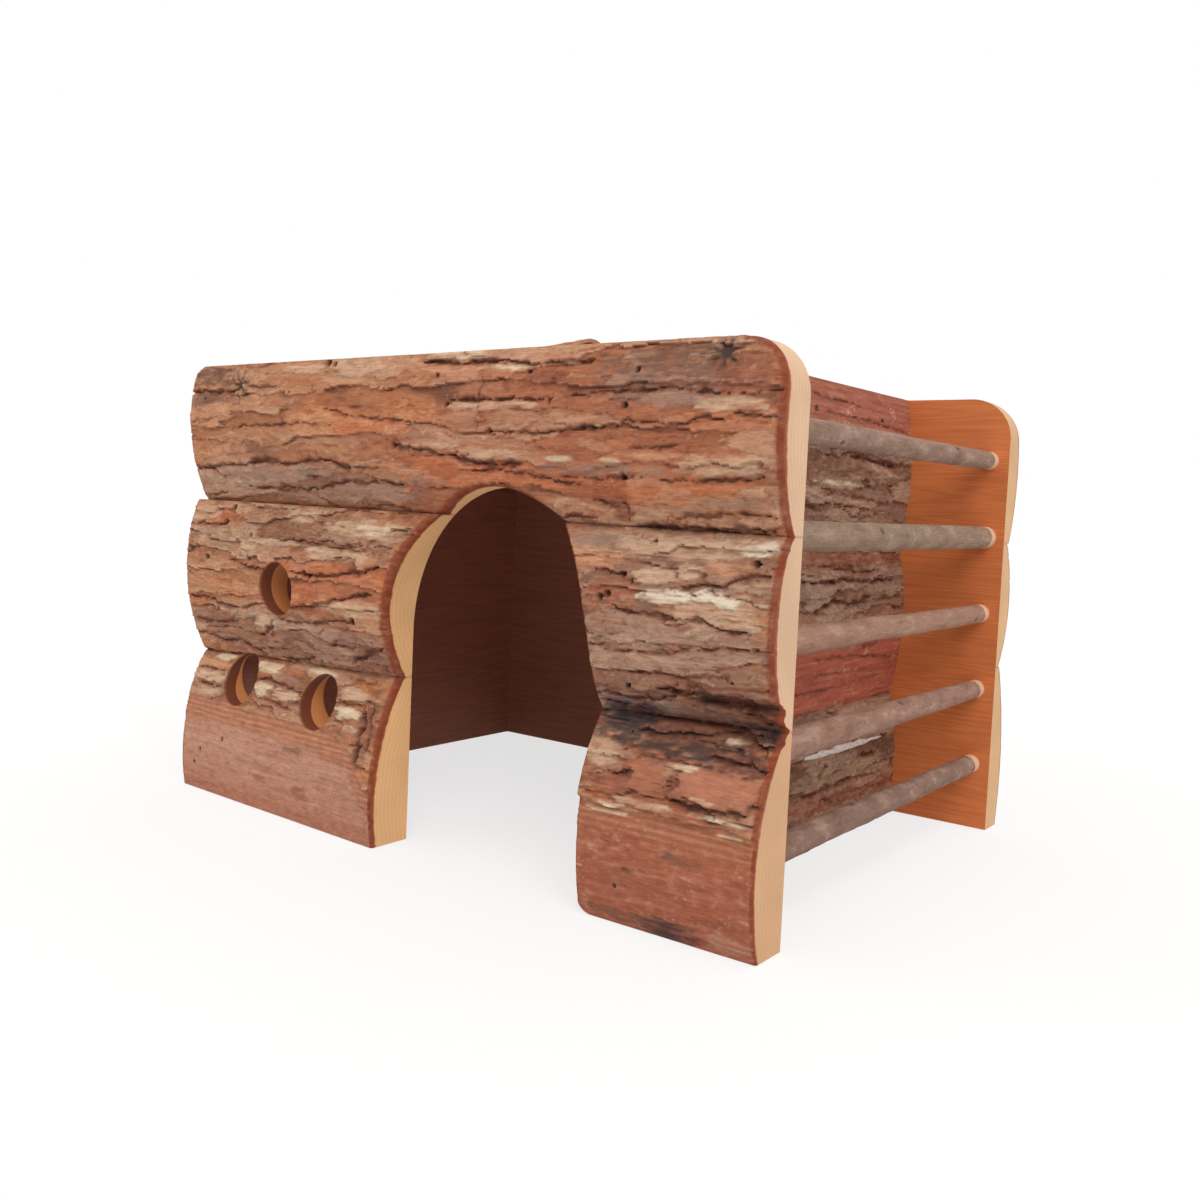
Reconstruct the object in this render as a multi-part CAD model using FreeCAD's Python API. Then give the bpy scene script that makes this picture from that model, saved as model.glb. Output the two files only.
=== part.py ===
import FreeCAD, Part
import os
from FreeCAD import Placement, Rotation, Vector

# Hamster house of half-log slabs, bark outwards, with a hay rack of five sticks on its right side.
# Frame: +X to the right along the front, +Y from front to back, +Z up.
# The origin lies on the floor, midway along the panels and midway between their flat faces.
# Millimetres throughout. "Start" and "end" are a slab's two ends, left and right seen from outside.

# ---------------------------------------------------------------- overall sizes
house_length = 254.0            # front and back panels, end to end
house_height = 160.0
room_depth = 160.0              # between the flat faces of the front and back panels

# ---------------------------------------------------------------- front and back panels
# Each list runs from the bottom slab to the top one. Edges are a slab's thickness at its lower and
# upper sawn edge, the crown is its greatest thickness, and the crown share is where in its height
# the crown lies. Left of the doorway the two lower slabs come from other logs than right of it.
front_joints_start = [0.0, 52.0, 110.0, house_height]
front_joints_end = [0.0, 58.5, 109.0, house_height]
front_edges_start = [(11.9, 2.7), (3.2, 7.8), (3.6, 9.2)]
front_edges_end = [(16.0, 4.5), (4.5, 7.0), (7.0, 9.0)]
front_crowns_start = [12.9, 12.0, 11.8]
front_crowns_end = [20.0, 17.0, 15.5]
front_crown_share = [0.36, 0.48, 0.52]
# the same slabs as they would be at the middle of the doorway
left_log_edges = [(19.0, 7.7), (7.1, 8.7)]
left_log_crowns = [20.0, 16.0]
right_log_edges = [(16.6, 9.0), (8.0, 7.5)]
right_log_crowns = [19.0, 15.2]

back_joints_start = [0.0, 61.0, 107.0, house_height]
back_joints_end = [0.0, 54.0, 110.0, house_height]
back_edges_start = [(13.5, 7.0), (5.5, 7.0), (8.5, 8.5)]
back_edges_end = [(15.0, 4.5), (4.5, 6.0), (6.0, 8.0)]
back_crowns_start = [15.5, 13.5, 13.8]
back_crowns_end = [20.0, 17.0, 15.0]
back_crown_share = [0.45, 0.5, 0.55]

rack_corner_radius = 15.0       # upper corners of both panels at the rack end
plain_corner_radius = 5.0       # upper corners at the other end

# ---------------------------------------------------------------- side walls
rack_wall_inset = 50.0          # flat inner face of the wall behind the rack, from the rack end
plain_wall_inset = 16.0         # flat inner face of the wall at the other end, from that end

rack_wall_joints = [0.0, 46.5, 103.0, house_height]
rack_wall_edges = [(12.0, 10.5), (10.5, 10.5), (10.5, 11.0)]
rack_wall_crowns = [13.5, 14.0, 13.5]

plain_wall_joints = [0.0, 53.0, 107.0, house_height]
plain_wall_edges = [(11.0, 9.5), (9.5, 9.5), (9.5, 10.5)]
plain_wall_crowns = [14.0, 14.0, 13.5]
wall_crown_share = [0.45, 0.5, 0.5]

# ---------------------------------------------------------------- roof
roof_slab_count = 3
roof_top_drop = 1.5             # crowns of the roof slabs below the top of the panels
roof_crown = 13.0
roof_edge = 8.5

# ---------------------------------------------------------------- bark
# Long fissures, widest and deepest halfway. Each is given by its two ends, as shares of its slab's
# length and height. Finer cracks are too small for the solids.
fissure_depth = 1.5
fissure_width = 3.4
plain_fissures = [((0.03, 0.30), (0.46, 0.36)), ((0.52, 0.34), (0.95, 0.27)),
                  ((0.06, 0.66), (0.60, 0.61)), ((0.66, 0.63), (0.98, 0.68)),
                  ((0.20, 0.90), (0.80, 0.88)), ((0.14, 0.11), (0.72, 0.13))]
front_top_fissures = [((0.00, 0.245), (0.33, 0.30)), ((0.40, 0.41), (0.66, 0.32)),
                      ((0.53, 0.68), (0.93, 0.69)), ((0.00, 0.81), (0.24, 0.80)),
                      ((0.12, 0.53), (0.34, 0.56)), ((0.57, 0.51), (0.97, 0.58))]
left_middle_fissures = [((0.00, 0.37), (0.29, 0.36)), ((0.43, 0.60), (0.71, 0.70)),
                        ((0.02, 0.84), (0.56, 0.76)), ((0.42, 0.36), (0.69, 0.52)),
                        ((0.03, 0.14), (0.62, 0.05))]
right_middle_fissures = [((0.46, 0.62), (0.98, 0.52)), ((0.44, 0.33), (0.90, 0.43)),
                         ((0.66, 0.72), (0.98, 0.80)), ((0.66, 0.19), (0.99, 0.15))]
left_bottom_fissures = [((0.01, 0.87), (0.13, 0.88)), ((0.66, 0.86), (0.68, 0.52))]
right_bottom_fissures = [((0.53, 0.94), (0.98, 0.94)), ((0.60, 0.72), (0.80, 0.70))]

# A loose flake of bark stands up over the top edge of the front panel.
flake_rack_margin = 63.5        # its free end, from the rack end
flake_length = 20.0
flake_rise = 1.7                # over the top edge
flake_thickness = 3.0
flake_outer_y = 10.0            # its bark side, from the flat face of the panel
flake_depth = 5.0

# ---------------------------------------------------------------- doorway and peep holes
door_rack_margin = 57.0         # from the rack end of the panel to the doorway
door_width = 84.0
door_height = 119.0
door_arch_rise = 49.0           # height of the half ellipse above the straight jambs
door_foot_radius = 4.5          # rounded foot of the rack-side jamb

peep_hole_diameter = 19.0
door_peep_holes = [(57.0, 80.0), (35.0, 42.5)]      # centres: from the near jamb, above the floor
end_peep_holes = [(30.5, 44.0)]                     # centre: from the plain end, above the floor

# ---------------------------------------------------------------- hay rack
stick_count = 5
stick_inset = 7.0               # line of the sticks, from the rack end
stick_lowest_z = 24.0
stick_pitch = 28.3
stick_front_diameters = [8.6, 9.6, 8.4, 9.4, 8.2]   # lowest stick first, bark included
stick_back_diameters = [7.6, 7.6, 7.6, 8.9, 7.4]
stick_bark = 0.4                # thickness of the bark on a stick
stick_bare_length = 2.5         # bark pared off beside each panel
tenon_diameter = 6.4
tenon_length = 3.6
tenon_radial_clearance = 0.1
tenon_end_clearance = 0.4

# ---------------------------------------------------------------- nails
nail_diameter = 1.4
nail_length = 30.0              # over the head
nail_head_diameter = 2.4
nail_head_height = 0.8
nail_sink = 1.0                 # head driven below the bark
nail_radial_clearance = 0.02
nail_height_shares = [0.2, 0.75]    # places of the nails within the height of a panel's slab

# ---------------------------------------------------------------- worked out
half_length = house_length / 2
half_room = room_depth / 2
rack_wall_inner_x = half_length - rack_wall_inset
plain_wall_inner_x = plain_wall_inset - half_length
room_length = rack_wall_inner_x - plain_wall_inner_x
door_right_x = half_length - door_rack_margin
door_left_x = door_right_x - door_width
door_centre_x = (door_left_x + door_right_x) / 2
door_spring_z = door_height - door_arch_rise
peep_hole_centres = [(door_left_x - run, z) for run, z in door_peep_holes]
peep_hole_centres += [(run - half_length, z) for run, z in end_peep_holes]
stick_x = half_length - stick_inset
roof_underside_z = house_height - roof_top_drop - roof_crown
cut_margin = 5.0                # how far a cutter runs past what it cuts
same_place = 0.001              # points nearer than this are one point
log_overrun = 0.3               # share of its length that a log runs on past each end
fissure_lift = 0.6              # how far a fissure's cutter stands out of the bark
cutter_depth = max(front_crowns_end + left_log_crowns + back_crowns_end) + cut_margin
door_middle_share = (half_length + door_centre_x) / house_length

# Each side of the house is drawn as if it were the front: length along +X, bark towards -Y.
front_place = Placement(Vector(-half_length, -half_room, 0), Rotation())
back_place = Placement(Vector(half_length, half_room, 0), Rotation(Vector(0, 0, 1), 180))
rack_wall_place = Placement(Vector(rack_wall_inner_x, -half_room, 0), Rotation(Vector(0, 0, 1), 90))
plain_wall_place = Placement(Vector(plain_wall_inner_x, half_room, 0), Rotation(Vector(0, 0, 1), -90))
roof_place = Placement(Vector(plain_wall_inner_x, -half_room, roof_underside_z),
                       Rotation(Vector(1, 0, 0), -90))


# ---------------------------------------------------------------- slabs
def bark_circle(x, low, high, crown, crown_share):
    """Circle of a log's bark at one end. low and high are (z, thickness) at the sawn edges."""
    crown_z = low[0] + crown_share * (high[0] - low[0])
    arc = Part.Arc(Vector(x, -low[1], low[0]), Vector(x, -crown, crown_z), Vector(x, -high[1], high[0]))
    return arc.toShape().Curve


def tapered_log(start, end):
    """Round log through two upright circles, run on past both of them.

    Its axis leans as the log tapers, so it is a little thicker across its axis than the circles are.
    """
    run = end.Center - start.Center
    along = Vector(run).normalize()
    lean_sine = (end.Radius - start.Radius) / run.Length
    stretch = 1 / (1 - lean_sine**2)**0.5
    overrun = log_overrun * run.Length
    taper = log_overrun * (end.Radius - start.Radius)
    start_radius = (start.Radius - taper) * stretch
    end_radius = (end.Radius + taper) * stretch
    foot = start.Center - along * overrun
    length = run.Length + 2 * overrun
    if abs(end_radius - start_radius) < same_place:
        return Part.makeCylinder(start_radius, length, foot, along)
    return Part.makeCone(start_radius, end_radius, length, foot, along)


def fissure(start, end, start_circle, end_circle, length):
    """Cutter for a fissure between two (x, z) places on a tapered log: a V that narrows to both ends."""
    points = []
    for x, z in (start, end):
        along = x / length
        centre = start_circle.Center + (end_circle.Center - start_circle.Center) * along
        radius = start_circle.Radius + (end_circle.Radius - start_circle.Radius) * along
        points.append(Vector(x, centre.y - (radius**2 - (z - centre.z)**2)**0.5, z))
    middle = (points[0] + points[1]) / 2
    run = points[1] - points[0]
    outward = Vector(0, -1, 0)
    outward = (outward - run * (outward.dot(run) / run.dot(run))).normalize()
    across = run.cross(outward).normalize()
    reach = fissure_width / 2 * (1 + fissure_lift / fissure_depth)
    raised = outward * fissure_lift
    bottom = middle - outward * fissure_depth
    rim = [points[0] + raised, middle + raised + across * reach,
           points[1] + raised, middle + raised - across * reach]
    sides = [Part.Face(Part.makePolygon([a, b, bottom, a])) for a, b in zip(rim, rim[1:] + rim[:1])]
    lid = Part.Face(Part.makePolygon(rim + rim[:1]))
    return Part.makeSolid(Part.makeShell(sides + [lid]))


def log_slab(length, low_joint, high_joint, edges, crowns, crown_share, fissures):
    """A half log. Joint heights, edges and crowns are (start, end) pairs."""
    circles = []
    for x, low, high, edge, crown in zip((0, length), low_joint, high_joint, edges, crowns):
        circles.append(bark_circle(x, (low, edge[0]), (high, edge[1]), crown, crown_share))
    outline = [Vector(0, 0, low_joint[0]), Vector(length, 0, low_joint[1]),
               Vector(length, 0, high_joint[1]), Vector(0, 0, high_joint[0])]
    face = Part.Face(Part.makePolygon(outline + outline[:1]))
    block = face.extrude(Vector(0, -cutter_depth, 0))
    slab = block.common(tapered_log(*circles)).Solids[0]
    for shares in fissures:
        ends = []
        for along, up in shares:
            low = low_joint[0] + along * (low_joint[1] - low_joint[0])
            high = high_joint[0] + along * (high_joint[1] - high_joint[0])
            ends.append((along * length, low + up * (high - low)))
        slab = slab.cut(fissure(*ends, *circles, length)).Solids[0]
    return slab


def log_slabs(length, joints, edges, crowns, crown_shares, fissures):
    """A stack of half logs, lowest first. joints, edges and crowns are (start, end) pairs of lists."""
    slabs = []
    for i, crown_share in enumerate(crown_shares):
        slabs.append(log_slab(length, [z[i] for z in joints], [z[i + 1] for z in joints],
                              [edge[i] for edge in edges], [crown[i] for crown in crowns],
                              crown_share, fissures[i]))
    return slabs


def placed(shapes, place):
    result = []
    for shape in shapes:
        moved = shape.copy()
        moved.Placement = place.multiply(moved.Placement)
        result.append(moved)
    return result


def bark_flake():
    """Wedge of bark that rises towards its free end over the top edge of the front panel."""
    free_x = half_length - flake_rack_margin
    root_x = free_x - flake_length
    top = house_height + flake_rise
    outline = [(root_x, house_height), (free_x - 0.2 * flake_length, top), (free_x, top - 0.4 * flake_rise),
               (free_x - 0.05 * flake_length, top - 0.7 * flake_thickness),
               (free_x - 0.4 * flake_length, top - flake_thickness), (root_x, house_height - flake_rise)]
    inner_y = -half_room - flake_outer_y + flake_depth
    points = [Vector(x, inner_y, z) for x, z in outline]
    return Part.Face(Part.makePolygon(points + points[:1])).extrude(Vector(0, -flake_depth, 0))


# ---------------------------------------------------------------- cutters
def round_corner(slab, x, z, radius):
    """The slab with its sawn corner along Y at (x, z) rounded."""
    corner = [edge for edge in slab.Edges
              if all(Vector(v.X - x, 0, v.Z - z).Length < same_place for v in edge.Vertexes)]
    return slab.makeFillet(radius, corner)


def door_cutter(y_low, depth):
    """Doorway: straight jambs down past the floor and a half-elliptical head."""
    jambs = Part.makeBox(door_width, depth, door_spring_z + cut_margin,
                         Vector(door_left_x, y_low, -cut_margin))
    centre = Vector(door_centre_x, y_low, door_spring_z)
    side = centre + Vector(door_width / 2, 0, 0)
    crown = centre + Vector(0, 0, door_arch_rise)
    if door_arch_rise > door_width / 2:
        ellipse = Part.Ellipse(crown, side, centre)
    else:
        ellipse = Part.Ellipse(side, crown, centre)
    head = Part.Face(Part.Wire([ellipse.toShape()])).extrude(Vector(0, depth, 0))
    return jambs.fuse(head).removeSplitter()


def cut_by(shape, cutters):
    """The shape less those cutters that come near it."""
    near = [cutter for cutter in cutters if cutter.BoundBox.intersect(shape.BoundBox)]
    if not near:
        return shape
    return shape.cut(near)


# ---------------------------------------------------------------- nails
def nail(point, x, z):
    """A nail along +Y with its point at y = point, and the hole that it sits in."""
    head_under = point - nail_length
    head_top = head_under - nail_head_height
    inward = Vector(0, 1, 0)
    tip = Part.makeCone(nail_diameter / 2, nail_diameter / 8, nail_diameter,
                        Vector(x, point - nail_diameter, z), inward)
    shank = Part.makeCylinder(nail_diameter / 2, nail_length - nail_diameter,
                              Vector(x, head_under, z), inward)
    head = Part.makeCylinder(nail_head_diameter / 2, nail_head_height, Vector(x, head_top, z), inward)
    hole = Part.makeCylinder(nail_diameter / 2 + nail_radial_clearance, nail_length + nail_radial_clearance,
                             Vector(x, head_under, z), inward)
    pocket = Part.makeCylinder(nail_head_diameter / 2 + nail_radial_clearance, nail_head_height + cut_margin,
                               Vector(x, head_top - cut_margin, z), inward)
    return head.fuse([shank, tip]).removeSplitter(), pocket.fuse(hole).removeSplitter()


def drive_nails(slabs, places):
    """Nails through the bark side of a stack of slabs, at (x, z) places, and their holes."""
    nails = []
    holes = []
    for x, z in places:
        probe = Part.makeLine(Vector(x, -cutter_depth, z), Vector(x, 0, z))
        thickness = sum(probe.common(slab).Length for slab in slabs)
        head_top = -thickness + nail_sink
        solid, hole = nail(head_top + nail_head_height + nail_length, x, z)
        nails.append(solid)
        holes.append(hole)
    return nails, holes


def panel_nail_places(joints_start, joints_end, wall_lines):
    """Places of the nails that go through a panel into the ends of the side walls."""
    places = []
    for x in wall_lines:
        along = x / house_length
        heights = [low + along * (high - low) for low, high in zip(joints_start, joints_end)]
        for low, high in zip(heights, heights[1:]):
            for share in nail_height_shares:
                places.append((x, low + share * (high - low)))
    return places


# ---------------------------------------------------------------- build the slabs
parts = {}
row_names = ["bottom", "middle", "top"]

front_joints = (front_joints_start, front_joints_end)
front_top_local = log_slabs(house_length, front_joints, (front_edges_start, front_edges_end),
                            (front_crowns_start, front_crowns_end), front_crown_share,
                            [[], [], front_top_fissures])[-1]
middle_joints = [low + door_middle_share * (high - low) for low, high in zip(*front_joints)]
left_length = door_middle_share * house_length
left_local = log_slabs(left_length, (front_joints_start, middle_joints),
                       (front_edges_start, left_log_edges), (front_crowns_start, left_log_crowns),
                       front_crown_share[:2], [left_bottom_fissures, left_middle_fissures])
right_place = Placement(Vector(left_length, 0, 0), Rotation())
right_local = placed(log_slabs(house_length - left_length, (middle_joints, front_joints_end),
                               (right_log_edges, front_edges_end), (right_log_crowns, front_crowns_end),
                               front_crown_share[:2], [right_bottom_fissures, right_middle_fissures]),
                     right_place)
front_local = left_local + right_local + [front_top_local]

back_local = log_slabs(house_length, (back_joints_start, back_joints_end),
                       (back_edges_start, back_edges_end), (back_crowns_start, back_crowns_end),
                       back_crown_share, [plain_fissures] * 3)
rack_wall_local = log_slabs(room_depth, (rack_wall_joints, rack_wall_joints),
                            (rack_wall_edges, rack_wall_edges), (rack_wall_crowns, rack_wall_crowns),
                            wall_crown_share, [plain_fissures] * 3)
plain_wall_local = log_slabs(room_depth, (plain_wall_joints, plain_wall_joints),
                             (plain_wall_edges, plain_wall_edges), (plain_wall_crowns, plain_wall_crowns),
                             wall_crown_share, [plain_fissures] * 3)
roof_joints = [room_depth * i / roof_slab_count for i in range(roof_slab_count + 1)]
roof_edges = [(roof_edge, roof_edge)] * roof_slab_count
roof_crowns = [roof_crown] * roof_slab_count
roof_local = log_slabs(room_length, (roof_joints, roof_joints), (roof_edges, roof_edges),
                       (roof_crowns, roof_crowns), [0.5] * roof_slab_count,
                       [plain_fissures] * roof_slab_count)

# ---------------------------------------------------------------- nails in place
rack_wall_line = rack_wall_inner_x + rack_wall_crowns[1] / 2
plain_wall_line = plain_wall_inner_x - plain_wall_crowns[1] / 2
front_lines = [half_length + plain_wall_line, half_length + rack_wall_line]
back_lines = [half_length - rack_wall_line, half_length - plain_wall_line]
roof_nail_z = roof_underside_z + roof_edge / 2
roof_nail_places = [((low + high) / 2, roof_nail_z) for low, high in zip(roof_joints, roof_joints[1:])]

front_nails, front_holes = drive_nails(
    front_local, panel_nail_places(front_joints_start, front_joints_end, front_lines))
back_nails, back_holes = drive_nails(
    back_local, panel_nail_places(back_joints_start, back_joints_end, back_lines))
rack_side_nails, rack_side_holes = drive_nails(rack_wall_local, roof_nail_places)
plain_side_nails, plain_side_holes = drive_nails(plain_wall_local, roof_nail_places)

nail_holes = (placed(front_holes, front_place) + placed(back_holes, back_place)
              + placed(rack_side_holes, rack_wall_place) + placed(plain_side_holes, plain_wall_place))
roof_nails = placed(rack_side_nails, rack_wall_place) + placed(plain_side_nails, plain_wall_place)
parts["front_nails"] = Part.makeCompound(placed(front_nails, front_place))
parts["back_nails"] = Part.makeCompound(placed(back_nails, back_place))
parts["roof_nails"] = Part.makeCompound(roof_nails)

# ---------------------------------------------------------------- rack sticks and their sockets
sockets = []
for i in range(stick_count):
    z = stick_lowest_z + i * stick_pitch
    front_radius = stick_front_diameters[i % len(stick_front_diameters)] / 2
    back_radius = stick_back_diameters[i % len(stick_back_diameters)] / 2
    along = Vector(0, 1, 0)
    bark = Part.makeCone(front_radius, back_radius, room_depth - 2 * stick_bare_length,
                         Vector(stick_x, -half_room + stick_bare_length, z), along)
    front_neck = Part.makeCylinder(front_radius - stick_bark, stick_bare_length,
                                   Vector(stick_x, -half_room, z), along)
    back_neck = Part.makeCylinder(back_radius - stick_bark, stick_bare_length,
                                  Vector(stick_x, half_room - stick_bare_length, z), along)
    tenons = Part.makeCylinder(tenon_diameter / 2, room_depth + 2 * tenon_length,
                               Vector(stick_x, -half_room - tenon_length, z), along)
    parts[f"rack_stick_{i + 1}"] = bark.fuse([front_neck, back_neck, tenons]).removeSplitter()

    socket_depth = tenon_length + tenon_end_clearance
    socket_radius = tenon_diameter / 2 + tenon_radial_clearance
    for mouth, inward in ((-half_room, -1), (half_room, 1)):
        sockets.append(Part.makeCylinder(socket_radius, cut_margin + socket_depth,
                                         Vector(stick_x, mouth - inward * cut_margin, z),
                                         Vector(0, inward, 0)))

# ---------------------------------------------------------------- front panel
front_low_y = -half_room - cutter_depth
front_depth = cutter_depth + cut_margin
front_cutters = nail_holes + sockets + [door_cutter(front_low_y, front_depth)]
for x, z in peep_hole_centres:
    front_cutters.append(Part.makeCylinder(peep_hole_diameter / 2, front_depth,
                                           Vector(x, front_low_y, z), Vector(0, 1, 0)))

front_names = [f"front_{half}_{row}_slab" for half in ("left", "right") for row in row_names[:2]]
front_names.append("front_top_slab")
for name, slab in zip(front_names, placed(front_local, front_place)):
    if name == "front_top_slab":
        slab = round_corner(slab, half_length, house_height, rack_corner_radius)
        slab = round_corner(slab, -half_length, house_height, plain_corner_radius)
        slab = slab.fuse(bark_flake())
    parts[name] = max(cut_by(slab, front_cutters).Solids, key=lambda solid: solid.Volume)
rack_foot = f"front_right_{row_names[0]}_slab"
parts[rack_foot] = round_corner(parts[rack_foot], door_right_x, 0, door_foot_radius)

# ---------------------------------------------------------------- back panel
back_slabs = placed(back_local, back_place)
back_slabs[-1] = round_corner(back_slabs[-1], half_length, house_height, rack_corner_radius)
back_slabs[-1] = round_corner(back_slabs[-1], -half_length, house_height, plain_corner_radius)
for name, slab in zip(row_names, back_slabs):
    parts[f"back_{name}_slab"] = cut_by(slab, nail_holes + sockets)

# ---------------------------------------------------------------- side walls and roof
for name, slab in zip(row_names, placed(rack_wall_local, rack_wall_place)):
    parts[f"rack_wall_{name}_slab"] = cut_by(slab, nail_holes)
for name, slab in zip(row_names, placed(plain_wall_local, plain_wall_place)):
    parts[f"plain_wall_{name}_slab"] = cut_by(slab, nail_holes)
for i, slab in enumerate(placed(roof_local, roof_place)):
    parts[f"roof_slab_{i + 1}"] = cut_by(slab, nail_holes)

# ---------------------------------------------------------------- write one STEP file per piece
os.makedirs("parts", exist_ok=True)
for name, shape in parts.items():
    shape.exportStep(f"parts/{name}.step")
    print(name, "solids", len(shape.Solids), "valid", shape.isValid(), "mm3", round(shape.Volume))
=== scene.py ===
import math
from dataclasses import dataclass

import bpy
import numpy as np
from mathutils import Matrix, Vector
from mathutils.bvhtree import BVHTree
from mathutils.geometry import tessellate_polygon


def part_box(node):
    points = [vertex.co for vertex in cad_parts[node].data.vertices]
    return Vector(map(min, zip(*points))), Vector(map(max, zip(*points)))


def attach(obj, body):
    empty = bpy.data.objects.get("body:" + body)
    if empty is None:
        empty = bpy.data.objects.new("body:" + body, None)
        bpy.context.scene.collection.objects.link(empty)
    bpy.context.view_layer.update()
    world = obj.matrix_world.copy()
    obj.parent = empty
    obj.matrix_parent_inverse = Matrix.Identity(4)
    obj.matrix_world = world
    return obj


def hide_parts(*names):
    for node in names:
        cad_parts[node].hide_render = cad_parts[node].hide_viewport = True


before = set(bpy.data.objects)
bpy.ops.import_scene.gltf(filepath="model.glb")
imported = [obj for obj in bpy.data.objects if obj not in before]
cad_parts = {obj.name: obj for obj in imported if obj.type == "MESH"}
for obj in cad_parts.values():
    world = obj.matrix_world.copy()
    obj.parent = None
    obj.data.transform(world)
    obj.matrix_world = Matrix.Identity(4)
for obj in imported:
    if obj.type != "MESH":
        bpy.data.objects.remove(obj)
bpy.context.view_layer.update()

# Hamster house of half logs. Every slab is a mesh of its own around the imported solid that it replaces.
# Lengths in this script are millimetres in the row frame, unless a name ends in _m.
MM = 0.001
FAR = 99.0                  # farther than any distance that matters
SAME = 0.02                 # packed points nearer than this lie in one plane
WITHIN = 0.02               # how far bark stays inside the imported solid


# ------------------------ colours
def srgb(red, green, blue):
    """Linear colour of an 8-bit sRGB one."""
    c = np.array([red, green, blue]) / 255
    return np.where(c > 0.04045, ((c + 0.055) / 1.055) ** 2.4, c / 12.92)


TAN = srgb(172, 118, 84)
ORANGE = srgb(166, 102, 72)
PEACH = srgb(192, 138, 104)
RED_BROWN = srgb(142, 84, 62)
BEIGE = srgb(192, 158, 130)
CREAM = srgb(208, 184, 154)
LICHEN = srgb(216, 200, 178)
GREY = srgb(143, 114, 96)
LILAC = srgb(151, 115, 98)
PINK = srgb(174, 126, 103)
UMBER = srgb(112, 78, 60)
SOOT = srgb(64, 50, 48)
CRACK = srgb(72, 46, 36)
INNER_BARK = srgb(126, 66, 46)
RIM_BARK = srgb(124, 56, 34)
CAMBIUM = srgb(190, 104, 52)
HOLE_BARK = srgb(112, 58, 38)
END_WOOD = srgb(210, 174, 142)
FOOT_WOOD = srgb(204, 160, 120)
BACK_WOOD = srgb(208, 166, 122)
# Golden end wood of the doorway: painted bounce light from the orange wood round it.
JAMB_WOOD_BOUNCE_LIT = srgb(232, 184, 132)
# The peep holes' walls: the end wood painted darker and more orange, as painted shade in the bores.
HOLE_WOOD_IN_SHADE = srgb(196, 128, 76)
FLAT_WOOD = srgb(198, 112, 62)
# Greyer sawn wood for within the room: painted shade.
ROOM_WOOD_IN_SHADE = srgb(190, 130, 108)
GLUE = srgb(226, 218, 212)

# What lighter and darker plates of bark do to the colour around them. The same factors also paint highlights
# on plates' proud lips and below cracks, and painted shade where plates dip under others and beside cracks.
LIGHT_TINT = np.array([1.22, 1.34, 1.46])
DARK_TINT = np.array([0.62, 0.49, 0.44])
AMBER_TINT = np.array([1.12, 0.95, 0.78])


def paint(tone, colour, mask):
    return tone + (np.asarray(colour) - tone) * np.clip(mask, 0, 1)[:, None]


def tint(tone, factors, mask):
    return tone * (1 + (factors - 1) * np.clip(mask, 0, 1)[:, None])


def coat(tone, *layers):
    """A tone with layers laid over it in turn, each paint or tint, its colour and its mask."""
    for lay, colour, mask in layers:
        tone = lay(tone, colour, mask)
    return tone


def plain(colour, points):
    """The same colour for every point."""
    return np.tile(colour, (len(points), 1))


# ------------------------ noise
def lattice(ix, iy, seed):
    """Repeatable random numbers from 0 to 1 at whole-number points."""
    with np.errstate(over="ignore"):
        h = ix.astype(np.uint32) * np.uint32(374761393) + iy.astype(np.uint32) * np.uint32(668265263)
        h = h + np.uint32(seed * 97463471 % 2**32)
        h = (h ^ (h >> np.uint32(13))) * np.uint32(1274126177)
        h = h ^ (h >> np.uint32(16))
    return h / 2.0**32


def noise(x, y, seed):
    """Gradient noise, about -1 to 1."""
    ix, iy = np.floor(x).astype(np.int64), np.floor(y).astype(np.int64)
    fx, fy = x - ix, y - iy
    ux, uy = (f * f * f * (f * (6 * f - 15) + 10) for f in (fx, fy))
    total = 0
    for dx in (0, 1):
        for dy in (0, 1):
            angle = 2 * np.pi * lattice(ix + dx, iy + dy, seed)
            slope = np.cos(angle) * (fx - dx) + np.sin(angle) * (fy - dy)
            total = total + slope * (ux if dx else 1 - ux) * (uy if dy else 1 - uy)
    return total * 1.5


def fbm(x, y, seed, octaves):
    """Noise in octaves of finer and weaker detail."""
    total, weight = 0, 1.0
    for octave in range(octaves):
        total = total + weight * noise(x * 2**octave, y * 2**octave, seed + 31 * octave)
        weight *= 0.55
    return total


def cells(x, y, seed):
    """Irregular plates: distance to the border, a random number for each, and how high up it a point is."""
    ix, iy = np.floor(x).astype(np.int64), np.floor(y).astype(np.int64)
    near, second = np.full(x.shape, FAR), np.full(x.shape, FAR)
    value, rise = np.zeros(x.shape), np.zeros(x.shape)
    for dx in (-1, 0, 1):
        for dy in (-1, 0, 1):
            jx, jy = ix + dx, iy + dy
            px, py = jx + lattice(jx, jy, seed), jy + lattice(jx, jy, seed + 7)
            away = np.hypot(x - px, y - py)
            closer = away < near
            second = np.where(closer, near, np.minimum(second, away))
            value = np.where(closer, lattice(jx, jy, seed + 13), value)
            rise = np.where(closer, y - py, rise)
            near = np.minimum(near, away)
    return second - near, value, rise


def smooth(low, high, x):
    """0 at low and before it, 1 at high and beyond, with a soft step between."""
    k = np.clip((x - low) / (high - low), 0, 1)
    return k * k * (3 - 2 * k)


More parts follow.
